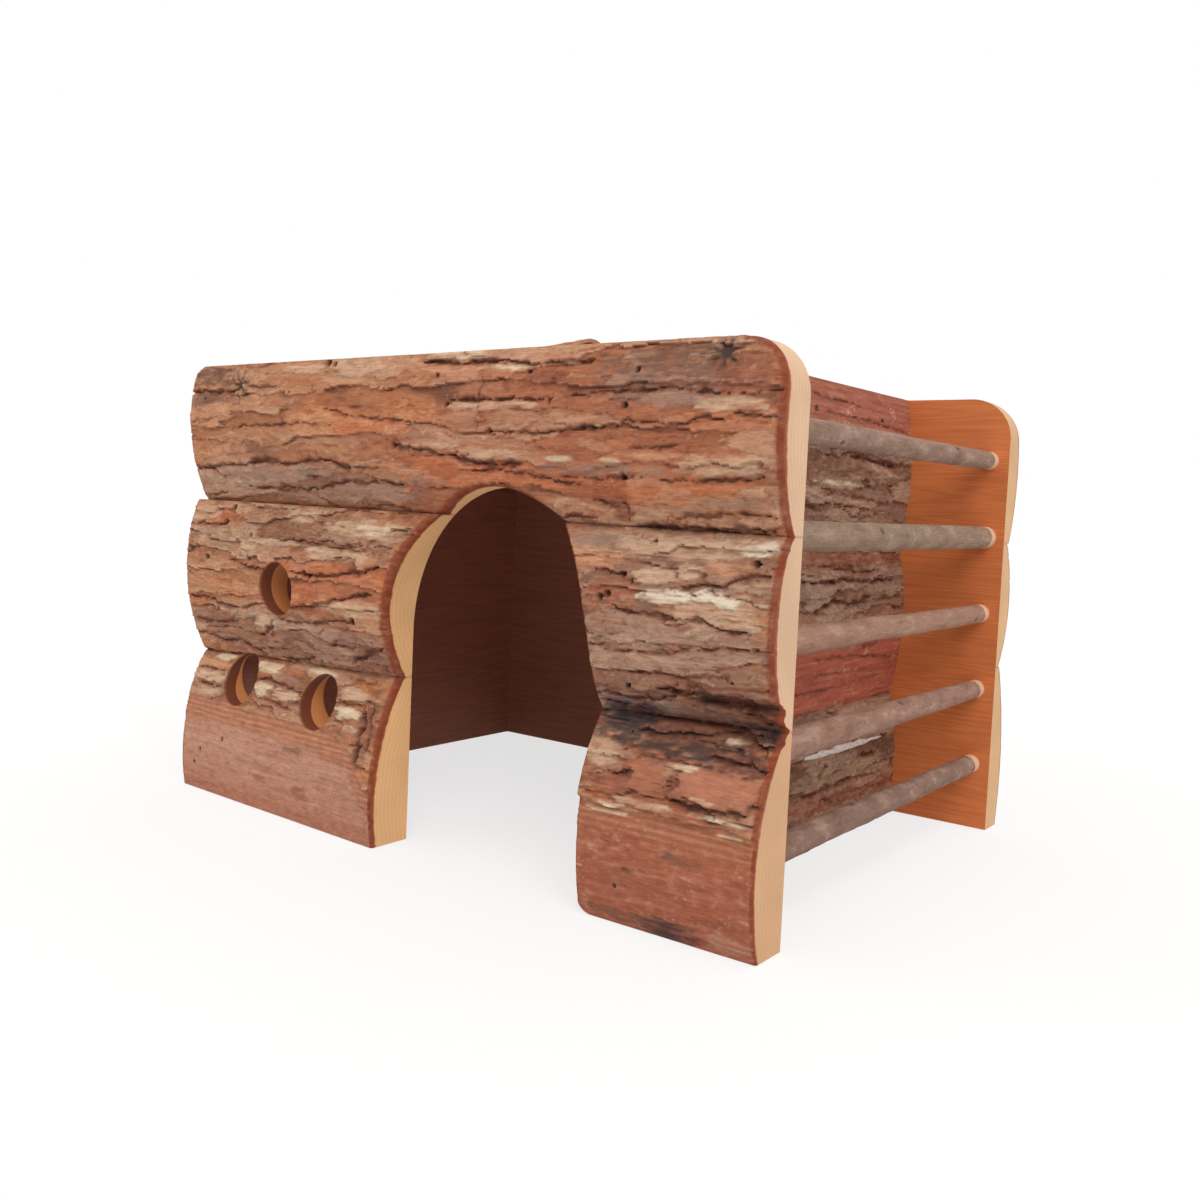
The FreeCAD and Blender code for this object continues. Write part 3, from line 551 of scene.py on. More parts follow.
@dataclass
class Bark:
    """Height and colour of a bark surface. Listed features sit on top of what the noise grows."""

    seed: int
    main: np.ndarray
    plate: tuple = (36, 5.4)        # usual length and width of a plate
    zones: tuple = ()
    patches: tuple = ()
    cracks: tuple = ()
    pits: tuple = ()
    knots: tuple = ()
    peel: object = None             # function that takes the bark off where it is lost

    def grow(self, s, t, tone):
        """Overlapping plates: each stands proud at its lower lip and dips under the one above. Where a plate
        dips under the next its colour is darkened as painted shade, and its proud lower lip is lightened as a
        painted highlight.
        """
        seed = self.seed
        bend = 8 * fbm(s / 28, t / 8, seed + 1, 3)
        sway = 2.2 * fbm(s / 26, t / 7, seed + 2, 4)
        length, width = self.plate
        gap, kind, rise = cells((s + bend) / length, (t + sway) / width, seed)
        thin_length, thin_width = length / 3.2, width / 3.2
        thin_gap, thin_kind, thin_rise = cells((s + 2 * bend) / thin_length, (t + 1.4 * sway) / thin_width,
                                               seed + 50)
        grain = fbm(s / 6, (t + sway) / 0.9, seed + 3, 3)
        height = 0.45 * (kind - 0.5) - 0.65 * np.clip(rise, -0.6, 0.6)
        height += 0.20 * (thin_kind - 0.5) - 0.22 * np.clip(thin_rise, -0.6, 0.6) + 0.07 * grain - 0.55

        hue = kind + 0.25 * fbm(s / 40, (t + sway) / 6, seed + 4, 4)
        fleck = smooth(0.45, 0.95, fbm(s / 2.8, (t + sway) / 0.8, seed + 6, 3))
        flecked = smooth(-0.1, 0.5, fbm(s / 24, t / 7, seed + 7, 3))
        patchy = smooth(-0.35, 0.35, fbm(s / 17, t / 5, seed + 5, 3))
        # Where a plate dips under the one above: the surface sinks there and the colour is darkened as
        # painted shade.
        tuck_and_shade = smooth(0.20, 0.02, gap) * smooth(0.05, 0.40, rise) * patchy
        thin_tuck_and_shade = smooth(0.22, 0.02, thin_gap) * smooth(0.05, 0.40, thin_rise) * (1 - 0.6 * patchy)
        height -= 0.55 * tuck_and_shade + 0.22 * thin_tuck_and_shade
        tone = coat(
            tone,
            (paint, BEIGE, smooth(0.60, 0.95, hue) * 0.36),
            (tint, AMBER_TINT, smooth(0.30, 0.42, kind) * smooth(0.60, 0.48, kind) * 0.8),
            (tint, DARK_TINT, smooth(0.38, 0.05, hue) * 0.34),
            (paint, BEIGE, smooth(0.55, 0.95, thin_kind) * 0.22),
            (tint, DARK_TINT, smooth(0.42, 0.05, thin_kind) * 0.32),
            (tint, LIGHT_TINT, smooth(0.1, 0.7, grain) * 0.45),
            (tint, DARK_TINT, smooth(-0.1, -0.7, grain) * 0.35),
            # Painted shade where the thin plates dip under the next.
            (tint, DARK_TINT, thin_tuck_and_shade * 0.75),
            # Red-brown and then crack colour at the top of each plate, under the plate above: painted shade
            # of the overlap.
            (paint, RED_BROWN, smooth(0.36, 0.04, gap) * smooth(-0.05, 0.30, rise) * 0.5),
            (paint, CRACK, tuck_and_shade * 0.58),
            # Painted highlight on the proud lower lip of each plate.
            (tint, LIGHT_TINT, smooth(0.30, 0.05, gap) * smooth(-0.10, -0.45, rise) * 0.45),
            (paint, CREAM, fleck * flecked * 0.28))
        return height, tone

    def lay(self, patches, s, t, height, tone):
        """Ragged patches. A zone of colour is one without a height of its own. A patch raised more than a
        little has its lower rim painted darker: a painted shadow under its edge.
        """
        ragged = fbm(s / 6, t / 1.6, self.seed + 8, 4)
        blotch = 0.62 + 0.55 * fbm(s / 8, t / 1.1, self.seed + 9, 4)
        for x, z, half_x, half_z, colour, *proud in patches:
            i = nearby(s, t, [(x - half_x, z - half_z), (x + half_x, z + half_z)], 0.6 * max(half_z, 2))
            edge = (abs((s[i] - x) / half_x) ** 3 + abs((t[i] - z) / half_z) ** 3) ** (1 / 3)
            edge = edge + 0.42 * ragged[i]
            mask = smooth(1.15, 0.80, edge)
            if not proud:
                tone[i] = paint(tone[i], colour, mask * np.clip(blotch[i] + 0.2, 0.4, 0.95))
                continue
            strength = np.clip(blotch[i] + 0.3 * (proud[0] > 0.5), 0.15, 0.92)
            # Painted shadow along the lower rim of a raised patch.
            rim = mask * smooth(0.62, 0.98, edge) * (t[i] < z)
            height[i] += mask * proud[0] * 0.8
            tone[i] = coat(tone[i], (paint, colour, mask * strength),
                           (paint, UMBER, rim * (proud[0] > 0.25) * 0.45))

    def cut_cracks(self, s, t, height, tone):
        """The plate above a crack overhangs it, and the one below slopes into it. Its colour: red-brown
        edges, a painted-shade halo, a painted highlight on the slope below, and a dark middle that is partly
        the fissure's own colour and partly painted shade.
        """
        ws = s + 1.2 * fbm(s / 5, t / 4, self.seed + 10, 3)
        wt = t + 0.6 * fbm(s / 4, t / 2.5, self.seed + 11, 4)
        swell = 0.75 + 0.8 * fbm(s / 6, t / 4, self.seed + 12, 3)
        dark = np.clip(0.62 + 0.6 * fbm(s / 9, t / 5, self.seed + 13, 3), 0.25, 1)
        for width, depth, *way in self.cracks:
            points = np.array(way, float).reshape(-1, 2)
            i = nearby(s, t, points, 5.0)
            away, along, below = line_distance(ws[i], wt[i], points)
            taper = np.clip(6 * np.minimum(along, 1 - along), 0.25, 1)
            half = width * taper * np.clip(swell[i], 0.25, 1.6)
            gap = smooth(1.0, 0.3, away / half)
            slope = smooth(3.4, 0.0, away) * below * taper
            height[i] -= depth * (0.75 * gap + 0.30 * slope * (1 - gap))
            tone[i] = coat(tone[i], (paint, RED_BROWN, smooth(2.8, 0.8, away / half) * 0.45),
                           # Painted shade beside the crack.
                           (tint, DARK_TINT, smooth(1.7, 0.6, away / half) * 0.55 * dark[i]),
                           # Painted highlight on the slope below the crack.
                           (tint, LIGHT_TINT, slope * smooth(0.9, 2.2, away) * 0.6),
                           # Dark middle of the crack: partly the fissure's own colour, partly painted shade
                           # in it.
                           (paint, CRACK, gap * dark[i] * min(1.0, 0.35 + 0.5 * depth)))

    def cut_pits(self, s, t, height, tone):
        for x, z, radius in self.pits:
            i = nearby(s, t, [(x, z)], 3 * radius)
            hole = smooth(1.1, 0.7, np.hypot(s[i] - x, (t[i] - z) * 1.15) / radius)
            height[i] -= 1.8 * hole
            # Painted shade: each pit is painted near black.
            tone[i] = paint(tone[i], CRACK, hole * 0.95)

    def grow_knots(self, s, t, height, tone):
        for x, z, reach, heart in self.knots:
            i = nearby(s, t, [(x, z)], 2.2 * reach)
            away = np.hypot(s[i] - x, t[i] - z)
            angle = np.arctan2(t[i] - z, s[i] - x)
            wobble = noise(s[i] / 3, t[i] / 3, self.seed + 14)
            rings = np.sin(away * 2.4 + 2.5 * wobble) * smooth(2.0 * reach, 0.6 * reach, away)
            rays = abs(np.sin(angle * 3.5 + 1.1 * wobble + 0.6))
            star = smooth(0.62, 0.97, rays) * smooth(reach, 0.15 * reach, away)
            core = smooth(heart * 1.3, heart * 0.6, away)
            height[i] += 0.16 * rings + 0.5 * smooth(1.6 * reach, 0, away)
            height[i] -= 1.5 * np.maximum(star, core)
            ring_shade = 0.35 * (rings > 0.2) * smooth(1.9 * reach, 0.3 * reach, away)
            # The star of cracks is painted dark, partly their own colour and partly painted shade in them;
            # the dark heart is the knot's own colour.
            tone[i] = coat(tone[i], (paint, UMBER, ring_shade),
                           (paint, SOOT, np.maximum(star * 0.8, core * 0.95)))

    def surface(self, s, t):
        """Height over the sound bark surface, and colour."""
        tone = plain(self.main, s)
        self.lay(self.zones, s, t, None, tone)
        height, tone = self.grow(s, t, tone)
        if self.peel:
            self.peel(s, t, height, tone)
        self.lay(self.patches, s, t, height, tone)
        for change in (self.grow_knots, self.cut_cracks, self.cut_pits):
            change(s, t, height, tone)
        return height, tone


def lay_bare(height, tone, bare, new_height, base):
    """Puts a smooth layer in place of the bark where it has gone."""
    height[:] = height * (1 - bare) + bare * new_height
    tone[:] = tone + (base - tone) * bare[:, None]


def peel_front(s, t, height, tone):
    """The foot of the bottom slabs has lost its bark: a smooth, finely streaked layer shows."""
    line = np.interp(s, PEEL_LINE_X, PEEL_LINE_Z) + 1.4 * fbm(s / 12, t / 4, 900, 3)
    bare = smooth(1.0, -0.6, t - line)
    fibres = smooth(-9.0, -5.0, t - line) * bare
    rack_side = (s > DOOR_CENTRE).astype(float)
    slant = t - 0.10 * (s - 70) * rack_side
    streak = 0.6 * fbm(s / 45, slant / 1.1, 901, 4) + 0.6 * fbm(s / 26, slant / 4.5, 903, 3)
    speckle = fbm(s / 3.6, t / 2.0, 904, 3)
    scratch = smooth(0.05, 0.01, abs(fbm(s / 13, (t + 0.4 * s) / 3.2, 905, 2)))
    scratch = scratch * smooth(0.05, 0.5, fbm(s / 11, t / 8, 906, 2)) * rack_side
    fibre_tone = np.where(rack_side[:, None] > 0, srgb(160, 100, 72), srgb(164, 106, 76))
    base = coat(
        plain(PINK, s),
        (paint, srgb(154, 88, 64), rack_side),
        (paint, srgb(190, 148, 124), smooth(0.1, 0.7, streak) * (0.45 - 0.25 * rack_side)),
        (paint, srgb(132, 72, 56), smooth(-0.1, -0.7, streak) * (0.35 + 0.2 * rack_side)),
        (paint, fibre_tone, fibres * 0.8),
        (paint, srgb(160, 98, 74), smooth(14, 2, t) * 0.6 * (1 - rack_side)),
        (paint, srgb(190, 136, 112), smooth(0.15, 0.8, speckle) * 0.32),
        (paint, srgb(112, 62, 48), smooth(-0.2, -0.8, speckle) * 0.28),
        (paint, srgb(208, 160, 132), scratch * 0.5))
    lost = LOST_BARK + MORE_LOST * rack_side
    lay_bare(height, tone, bare, 0.10 * streak - lost, base)
    ridged = np.sin(t * 3.4 + 1.5 * fbm(s / 30, t / 4, 902, 2))
    height += fibres * (0.12 * ridged + 0.5)
    tone[:] = coat(tone, (paint, RED_BROWN, fibres * smooth(0.1, 0.9, ridged) * 0.55),
                   (paint, PEACH, fibres * smooth(0.1, 0.9, -ridged) * 0.35))


def peel_rack_wall(s, t, height, tone):
    """Smooth inner bark shows along the top of this wall and in a band across its middle."""
    sway = 1.6 * fbm(s / 14, t / 5, 910, 3)
    band = smooth(RACK_BAND_LOW, RACK_BAND_LOW + 2.5, t + 0.5 * sway)
    band = band * smooth(RACK_BAND_HIGH, RACK_BAND_HIGH - 3.0, t + sway)
    bare = np.maximum(smooth(RACK_BARE_TOP, RACK_BARE_TOP + 3.5, t + sway), band)
    streak = fbm(s / 30, t / 1.3, 911, 4)
    scratch = smooth(0.07, 0.02, abs(fbm(s / 9, t / 5, 912, 2)))
    scratch = scratch * smooth(0.0, 0.5, fbm(s / 12, t / 9, 913, 2))
    base = coat(
        plain(srgb(176, 92, 70), s),
        (paint, srgb(164, 96, 76), t > 100),
        (paint, srgb(198, 140, 116), smooth(0.2, 0.8, streak) * 0.35),
        (paint, srgb(124, 66, 52), smooth(0.0, -0.7, streak) * 0.5),
        (paint, srgb(212, 166, 140), scratch * 0.55))
    lay_bare(height, tone, bare, -1.0 + 0.12 * streak, base)


front_features = {"zones": FRONT_ZONES, "patches": FRONT_PATCHES, "cracks": FRONT_CRACKS,
                  "pits": FRONT_PITS, "knots": FRONT_KNOTS}
front_bark = Bark(11, TAN, peel=peel_front, **front_features)
front_top_bark = Bark(17, TAN, (62, 9.5), **front_features)

# ------------------------ bark of the other sides
# As above, on the wall behind the rack in (y, z), on the back in (-x, z), on the plain wall in (-y, z).
RACK_CRACKS = [
    (0.5, 0.8, -2, 149.5, 20, 149, 50, 148.5, 80, 147),
    (1.2, 2.2, 20, 136, 40, 135, 60, 134, 80, 135),
    (0.8, 1.6, -30, 118, -5, 117.5, 20, 118.5, 45, 117),
    (1.2, 2.4, -4, 92.5, 10, 91.5, 30, 92, 50, 91, 74, 91.5),
    (1.2, 2.4, 0, 81.2, 10, 83.2, 20, 85, 32, 83.5, 40, 84, 52, 86),
    (0.8, 1.6, 10, 97.5, 22, 96, 45, 94.5, 60, 95),
    (0.6, 0.9, 44, 67.5, 50, 67, 58, 68),
    (0.4, 0.5, 0, 58.5, 15, 59.5, 30, 59),
    (1.3, 2.4, 13, 24.5, 17, 25.8, 21, 27),
    (1.2, 2.2, 50, 27, 56, 25.5, 62, 26.5),
    (0.9, 1.8, -5, 19, 15, 18.4, 40, 19.2, 66, 18),
]
RACK_ZONES = [
    (0, 138, 90, 5.5, srgb(112, 82, 68)), (10, 128, 80, 7, UMBER), (20, 121, 60, 4, LILAC),
    (30, 100, 70, 3, INNER_BARK), (10, 88, 90, 7, GREY), (0, 74, 90, 4, LILAC), (20, 26, 80, 8, UMBER),
    (20, 8, 80, 7, GREY), (40, 14, 60, 3, INNER_BARK),
]
RACK_PATCHES = [(16, 125.6, 18, 0.9, CREAM, 0.5)]
BACK_ZONES = [
    (-60, 140, 60, 9, ORANGE), (60, 128, 50, 7, GREY), (-80, 118, 40, 5, LILAC), (50, 90, 60, 8, ORANGE),
    (-70, 70, 50, 8, GREY), (20, 60, 60, 5, UMBER), (-40, 30, 70, 9, PEACH), (80, 20, 40, 8, GREY),
    (0, 8, 30, 3, RED_BROWN),
]
BACK_PATCHES = [
    (-20, 150, 14, 2, CREAM, 0.4), (74, 104, 12, 2, BEIGE, 0.5), (-96, 92, 10, 2.4, LICHEN, 0.5),
    (30, 76, 9, 1.6, CREAM, 0.4), (-60, 44, 12, 2, BEIGE, 0.4), (96, 40, 8, 2, LICHEN, 0.4),
]
PLAIN_ZONES = [
    (-20, 145, 60, 9, PEACH), (40, 122, 40, 6, GREY), (-40, 112, 36, 5, ORANGE), (30, 84, 50, 8, ORANGE),
    (-30, 68, 50, 7, GREY), (10, 40, 60, 8, PEACH), (-30, 12, 50, 8, GREY),
]
PLAIN_PATCHES = [
    (-46, 132, 10, 2, CREAM, 0.4), (22, 98, 12, 2, BEIGE, 0.5), (-12, 54, 9, 1.8, LICHEN, 0.5),
    (50, 28, 9, 2, CREAM, 0.4),
]

# Main fissures in the solids of these sides: both ends, as shares of a slab's length and height.
FISSURES = [(0.03, 0.30, 0.46, 0.36), (0.52, 0.34, 0.95, 0.27), (0.06, 0.66, 0.60, 0.61),
            (0.66, 0.63, 0.98, 0.68), (0.20, 0.90, 0.80, 0.88), (0.14, 0.11, 0.72, 0.13)]


def main_fissures(logs, width=1.1, depth=1.6, arch=0.8):
    """Cracks along the fissures of some logs, each arched a little."""
    cracks = []
    for log in logs:
        for along0, up0, along1, up1 in FISSURES:
            s0, s1 = (log.start + along * (log.end - log.start) for along in (along0, along1))
            t0, t1 = log.across(s0, up0), log.across(s1, up1)
            cracks.append((width, depth, s0, t0, (s0 + s1) / 2, (t0 + t1) / 2 + arch, s1, t1))
    return cracks


rack_bark = Bark(201, srgb(142, 104, 86), zones=RACK_ZONES, patches=RACK_PATCHES,
                 cracks=RACK_CRACKS + main_fissures(rack_wall, 0.6, 0.7), peel=peel_rack_wall)
back_bark = Bark(301, srgb(180, 122, 90), (46, 6.5), BACK_ZONES, BACK_PATCHES, main_fissures(back))
plain_bark = Bark(401, srgb(172, 118, 90), zones=PLAIN_ZONES, patches=PLAIN_PATCHES,
                  cracks=main_fissures(plain_wall))
roof_bark = Bark(501, srgb(162, 122, 98), cracks=main_fissures(roof))

# ------------------------ slab meshes
BARK_LAYER = 3.3            # thickness of the bark on the wood
RACK_END_BARK = {"front_top_slab": 4.0, "front_right_middle_slab": 6.0, "front_right_bottom_slab": 3.8}
RACK_END_SUNK = {"front_right_middle_slab": 2.4}     # how far that log's round falls away at the rack end
SUNK_FROM, SUNK_TO = 85, 122                         # between these x
JOINT_BARK = 1.6            # thickness of the bark beside a joint of two slabs, on the rack end
HOLE_LAYER = 6.0            # how far down the peep holes the dark bark shows
HOLE_RIM = 1.6              # width of the worn rim round a peep hole
HOLE_WORN, HOLE_ROUND = 0.6, 0.5       # share of the relief lost there, and how far it is rounded
SANDED_OFF = 0.9            # what sanding took off the rough layer
SEAM_WIDTH, SEAM_DEPTH = 1.2, 0.35
BACK_STRIP = 0.35           # least thickness left under a furrow
LEAST_BARK, MOST_BARK = 0.4, 0.8       # thickness of what bark a cut shows, and its share of the slab
ON_CUT = 0.3                # points nearer to a cut than this are on it
BARK_ROWS = (0.25, 0.5, 0.75, 1.0)     # rows of faces down a cut, as shares of its bark
WOOD_ROWS = (0.04, 0.5, 1.0)           # and of the wood under it
SHARP_ANGLE = math.radians(50)

# Type and data field of each attribute that the materials read.
ATTRIBUTES = {"tone": ("FLOAT_COLOR", "color"), "grain": ("FLOAT_VECTOR", "vector"),
              "under": ("FLOAT", "value")}


def add_piece(name, slot, points_m, faces, materials, kinds=(), **attributes):
    """A piece with smooth faces, the material number of each, and an attribute's value for each point."""
    mesh = bpy.data.meshes.new(name)
    mesh.from_pydata(points_m.tolist(), [], faces)
    if kinds:
        mesh.polygons.foreach_set("material_index", kinds)
    for material in materials:
        mesh.materials.append(material)
    for attribute, values in attributes.items():
        kind, field = ATTRIBUTES[attribute]
        if kind == "FLOAT_COLOR":
            values = np.column_stack([values, np.ones(len(values))])
        data = mesh.attributes.new(attribute, kind, "POINT").data
        data.foreach_set(field, np.asarray(values, np.float32).ravel())
    mesh.shade_smooth()
    mesh.set_sharp_from_angle(angle=SHARP_ANGLE)
    piece = bpy.data.objects.new(name, mesh)
    bpy.context.scene.collection.objects.link(piece)
    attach(piece, "root")
    return piece


def snap_to_cuts(s, t, inside):
    """Moves the grid points beside a cut onto it. Returns the state of each point: 1 in, 0 on, -1 out."""
    gap = inside(s.ravel(), t.ravel()).reshape(s.shape)
    closest = np.full(s.shape, FAR)
    new_s, new_t = s.copy(), t.copy()
    for axis in (0, 1):
        a = tuple(slice(None, -1) if k == axis else slice(None) for k in (0, 1))
        b = tuple(slice(1, None) if k == axis else slice(None) for k in (0, 1))
        crossing = gap[a] * gap[b] < 0
        k = np.where(crossing, gap[a] / np.where(crossing, gap[a] - gap[b], 1), FAR)
        at_s, at_t = s[a] + k * (s[b] - s[a]), t[a] + k * (t[b] - t[a])
        for view, share in ((a, k), (b, 1 - k)):
            take = crossing & (share <= 0.5) & (share < closest[view])
            new_s[view] = np.where(take, at_s, new_s[view])
            new_t[view] = np.where(take, at_t, new_t[view])
            closest[view] = np.where(take, share, closest[view])
    state = np.sign(np.where(abs(gap) < 1e-7, 0, gap)).astype(int)
    state[closest < 1] = 0
    return new_s, new_t, state


def grid_quads(rows, cols):
    """The cells of a grid of points, as the numbers of their corners."""
    index = np.arange(rows * cols).reshape(rows, cols)
    return np.stack([index[:-1, :-1], index[1:, :-1], index[1:, 1:], index[:-1, 1:]], -1).reshape(-1, 4)


def grid_faces(s, t, state, inside):
    """Faces of a grid between its cuts: the whole cells, and half of those that a cut crosses."""
    corners = grid_quads(*s.shape)
    middle_s, middle_t = (v.ravel()[corners].mean(1) for v in (s, t))
    states = state.ravel()[corners]
    out = (states < 0).sum(1)
    inner = (states > 0).any(1) | (inside(middle_s, middle_t) > 0)
    halved = (out == 1) & inner
    return corners[(out == 0) & inner], corners[halved][states[halved] >= 0].reshape(-1, 3)


def border_edges(*face_arrays):
    """Edges with one face, in that face's direction."""
    edges = np.concatenate([f[:, [k, (k + 1) % f.shape[1]]] for f in face_arrays if len(f)
                            for k in range(f.shape[1])])
    forward = edges[:, 0].astype(np.int64) * (edges.max() + 1) + edges[:, 1]
    backward = edges[:, 1].astype(np.int64) * (edges.max() + 1) + edges[:, 0]
    return edges[~np.isin(forward, backward)]


def loops_of(edges):
    """Closed loops of points along directed edges."""
    following = dict(edges.tolist())
    loops = []
    while following:
        start, at = next(iter(following.items()))
        del following[start]
        loop = [start]
        while at != start:
            loop.append(at)
            at = following.pop(at)
        loops.append(loop)
    return loops


def flat_faces(s, t, edges):
    """Triangles that close the flat side within the loops of its border."""
    loops = loops_of(edges)
    order = np.concatenate(loops)
    polygons = [[Vector((s[p], t[p], 0)) for p in loop] for loop in loops]
    faces = order[np.array(tessellate_polygon(polygons))]
    a, b, c = (np.column_stack([s, t])[faces[:, k]] for k in range(3))
    turn = (b[:, 0] - a[:, 0]) * (c[:, 1] - a[:, 1]) - (b[:, 1] - a[:, 1]) * (c[:, 0] - a[:, 0])
    return np.where((turn > 0)[:, None], faces[:, ::-1], faces)[abs(turn) > 1e-9]


def sand_edges(s, t, cuts):
    """How far sanding lowers the bark beside the cuts, and where it took the rough layer off."""
    drop, worn = np.zeros(s.shape), np.zeros(s.shape)
    ragged = 0.9 * fbm(s / 3, t / 2.2, 77, 3)
    for distance, radius_at in cuts:
        edge, radius = distance(s, t), radius_at(s, t)
        inset = np.clip(radius - edge, 0, radius)
        drop = np.maximum(drop, radius - np.sqrt(radius**2 - inset**2))
        worn = np.maximum(worn, smooth(radius * 1.35, radius * 0.75, edge + ragged * (0.25 + radius / 5)))
    return np.minimum(drop, BARK_LAYER + 0.2), worn


def bark_side(log, bark, cuts, end_tone, s, t):
    """Height of the sound log, height of the worked bark, and its colour."""
    sound = log.thickness(s, t)
    height, tone = bark.surface(s, t)
    drop, sanded = sand_edges(s, t, cuts)
    hole = smooth(HOLE_RIM, 0.0, hole_distance(s, t)) if log.side is FRONT else 0.0
    height = height * (1 - HOLE_WORN * hole)
    height = np.minimum(height, height * (1 - sanded) - SANDED_OFF * sanded) - drop - HOLE_ROUND * hole**2
    seam = smooth(SEAM_WIDTH, 0.0, log.joint_distance(s, t))
    height -= SEAM_DEPTH * seam
    height -= RACK_END_SUNK.get(log.name, 0) * smooth(SUNK_FROM, SUNK_TO, s) * log.crown(s, t)
    blotch = 0.85 + 0.3 * fbm(s / 2.5, t / 2.5, 78, 3)
    seam_shade = np.clip(0.35 + 0.5 * noise(s / 9, t / 9, 82), 0.05, 0.8)
    tone = coat(tone, (paint, RIM_BARK, sanded * blotch), (paint, CRACK, seam * seam_shade),
                (paint, end_tone, smooth(BARK_LAYER - 0.3, BARK_LAYER, drop + 0.3 * blotch)))
    return sound, np.maximum(sound + np.minimum(height, -WITHIN), BACK_STRIP), tone


def cut_rows(log, end_tone, s, t, sound, top):
    """Depth under the bark side, and colour, of each row of points down the cuts of a slab."""
    in_bore = (hole_distance(s, t) < ON_CUT) & (log.side is FRONT)
    in_door = (door_distance(s, t) < ON_CUT) & (log.side is FRONT)
    layer = np.full(len(s), BARK_LAYER)
    if log.name in RACK_END_BARK:
        rack_layer = JOINT_BARK + (RACK_END_BARK[log.name] - JOINT_BARK) * log.crown(s, t) ** 0.7
        layer = np.where(s > PANEL_END - RACK_CORNER, rack_layer, layer)
    layer = layer + 0.25 * noise(t / 4, s / 4, 79) + 0.25 * noise(t / 1.5, s / 1.5, 80)
    layer = np.where(in_bore, HOLE_LAYER, layer)
    bark_left = np.clip(layer - (sound - top), LEAST_BARK, MOST_BARK * top)
    # In the doorway the cut wood takes the golden jamb colour: painted bounce light.
    wood = np.where(in_door[:, None], JAMB_WOOD_BOUNCE_LIT, end_tone)
    wood = paint(wood, UMBER, smooth(0.6, 0.0, log.joint_distance(s, t)) * 0.4)
    # Painted shade: the bore walls take the darker hole colour.
    wood = np.where(in_bore[:, None], HOLE_WOOD_IN_SHADE, wood)
    rind = np.where(in_bore[:, None], HOLE_BARK, RIM_BARK)
    inner = paint(rind, CAMBIUM, ~in_bore * (0.55 + 0.4 * noise(t / 1.2, s / 1.2, 81)))
    depths = [bark_left * share for share in BARK_ROWS]
    depths += [bark_left + (top - bark_left) * share for share in WOOD_ROWS]
    tones = [paint(rind, inner, np.full(len(s), share)) for share in BARK_ROWS] + [wood] * len(WOOD_ROWS)
    return depths, tones


def slab_grid(log, inside, step):
    """Points and faces of a slab's bark side, cut to shape."""
    cols = int(round((log.end - log.start) / step)) + 1
    rows = int(round((log.high(log.start) - log.low(log.start)) / step)) + 1
    s, v = np.meshgrid(np.linspace(log.start, log.end, cols), np.linspace(0, 1, rows), indexing="ij")
    s, t, state = snap_to_cuts(s, log.across(s, v), inside)
    quads, triangles = grid_faces(s, t, state, inside)
    used = np.unique(np.concatenate([quads.ravel(), triangles.ravel()]))
    return s.ravel()[used], t.ravel()[used], np.searchsorted(used, quads), np.searchsorted(used, triangles)


def dress(log, bark, inside, cuts, step, end_tone=END_WOOD):
    """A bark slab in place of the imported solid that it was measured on."""
    s, t, quads, triangles = slab_grid(log, inside, step)
    sound, top, tone = bark_side(log, bark, cuts, end_tone, s, t)

    edges = border_edges(quads, triangles)
    rim = np.unique(edges)
    rim_edges = np.searchsorted(rim, edges)
    depths, tones = cut_rows(log, end_tone, s[rim], t[rim], sound[rim], top[rim])
    rings = [edges] + [rim_edges + len(s) + row * len(rim) for row in range(len(depths))]
    strip = np.concatenate([np.column_stack([near[:, ::-1], far]) for near, far in zip(rings, rings[1:])])
    flats = flat_faces(s[rim], t[rim], rim_edges) + len(s) + len(depths) * len(rim)

    # The flat side has a ring of points of its own, one on each point of the cut's last row.
    depths.append(top[rim])
    tones.append(plain(FLAT_WOOD, rim))
    all_s, all_t = (np.concatenate([v] + [v[rim]] * len(depths)) for v in (s, t))
    all_d = np.concatenate([top] + [top[rim] - depth for depth in depths])
    under = np.concatenate([sound - top] + [sound[rim] - top[rim] + depth for depth in depths])
    faces = quads.tolist() + triangles.tolist() + strip.tolist() + flats.tolist()
    kinds = [0] * (len(quads) + len(triangles)) + [1] * len(strip) + [2] * len(flats)
    piece = add_piece(log.name + "_bark", "bark_slab", log.side.place(all_s, all_t, all_d + log.flat), faces,
                      SLAB_MATERIALS, kinds, tone=np.concatenate([tone] + tones),
                      grain=np.column_stack([all_s, all_t, all_d]), under=under)
    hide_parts(log.name)
    return piece


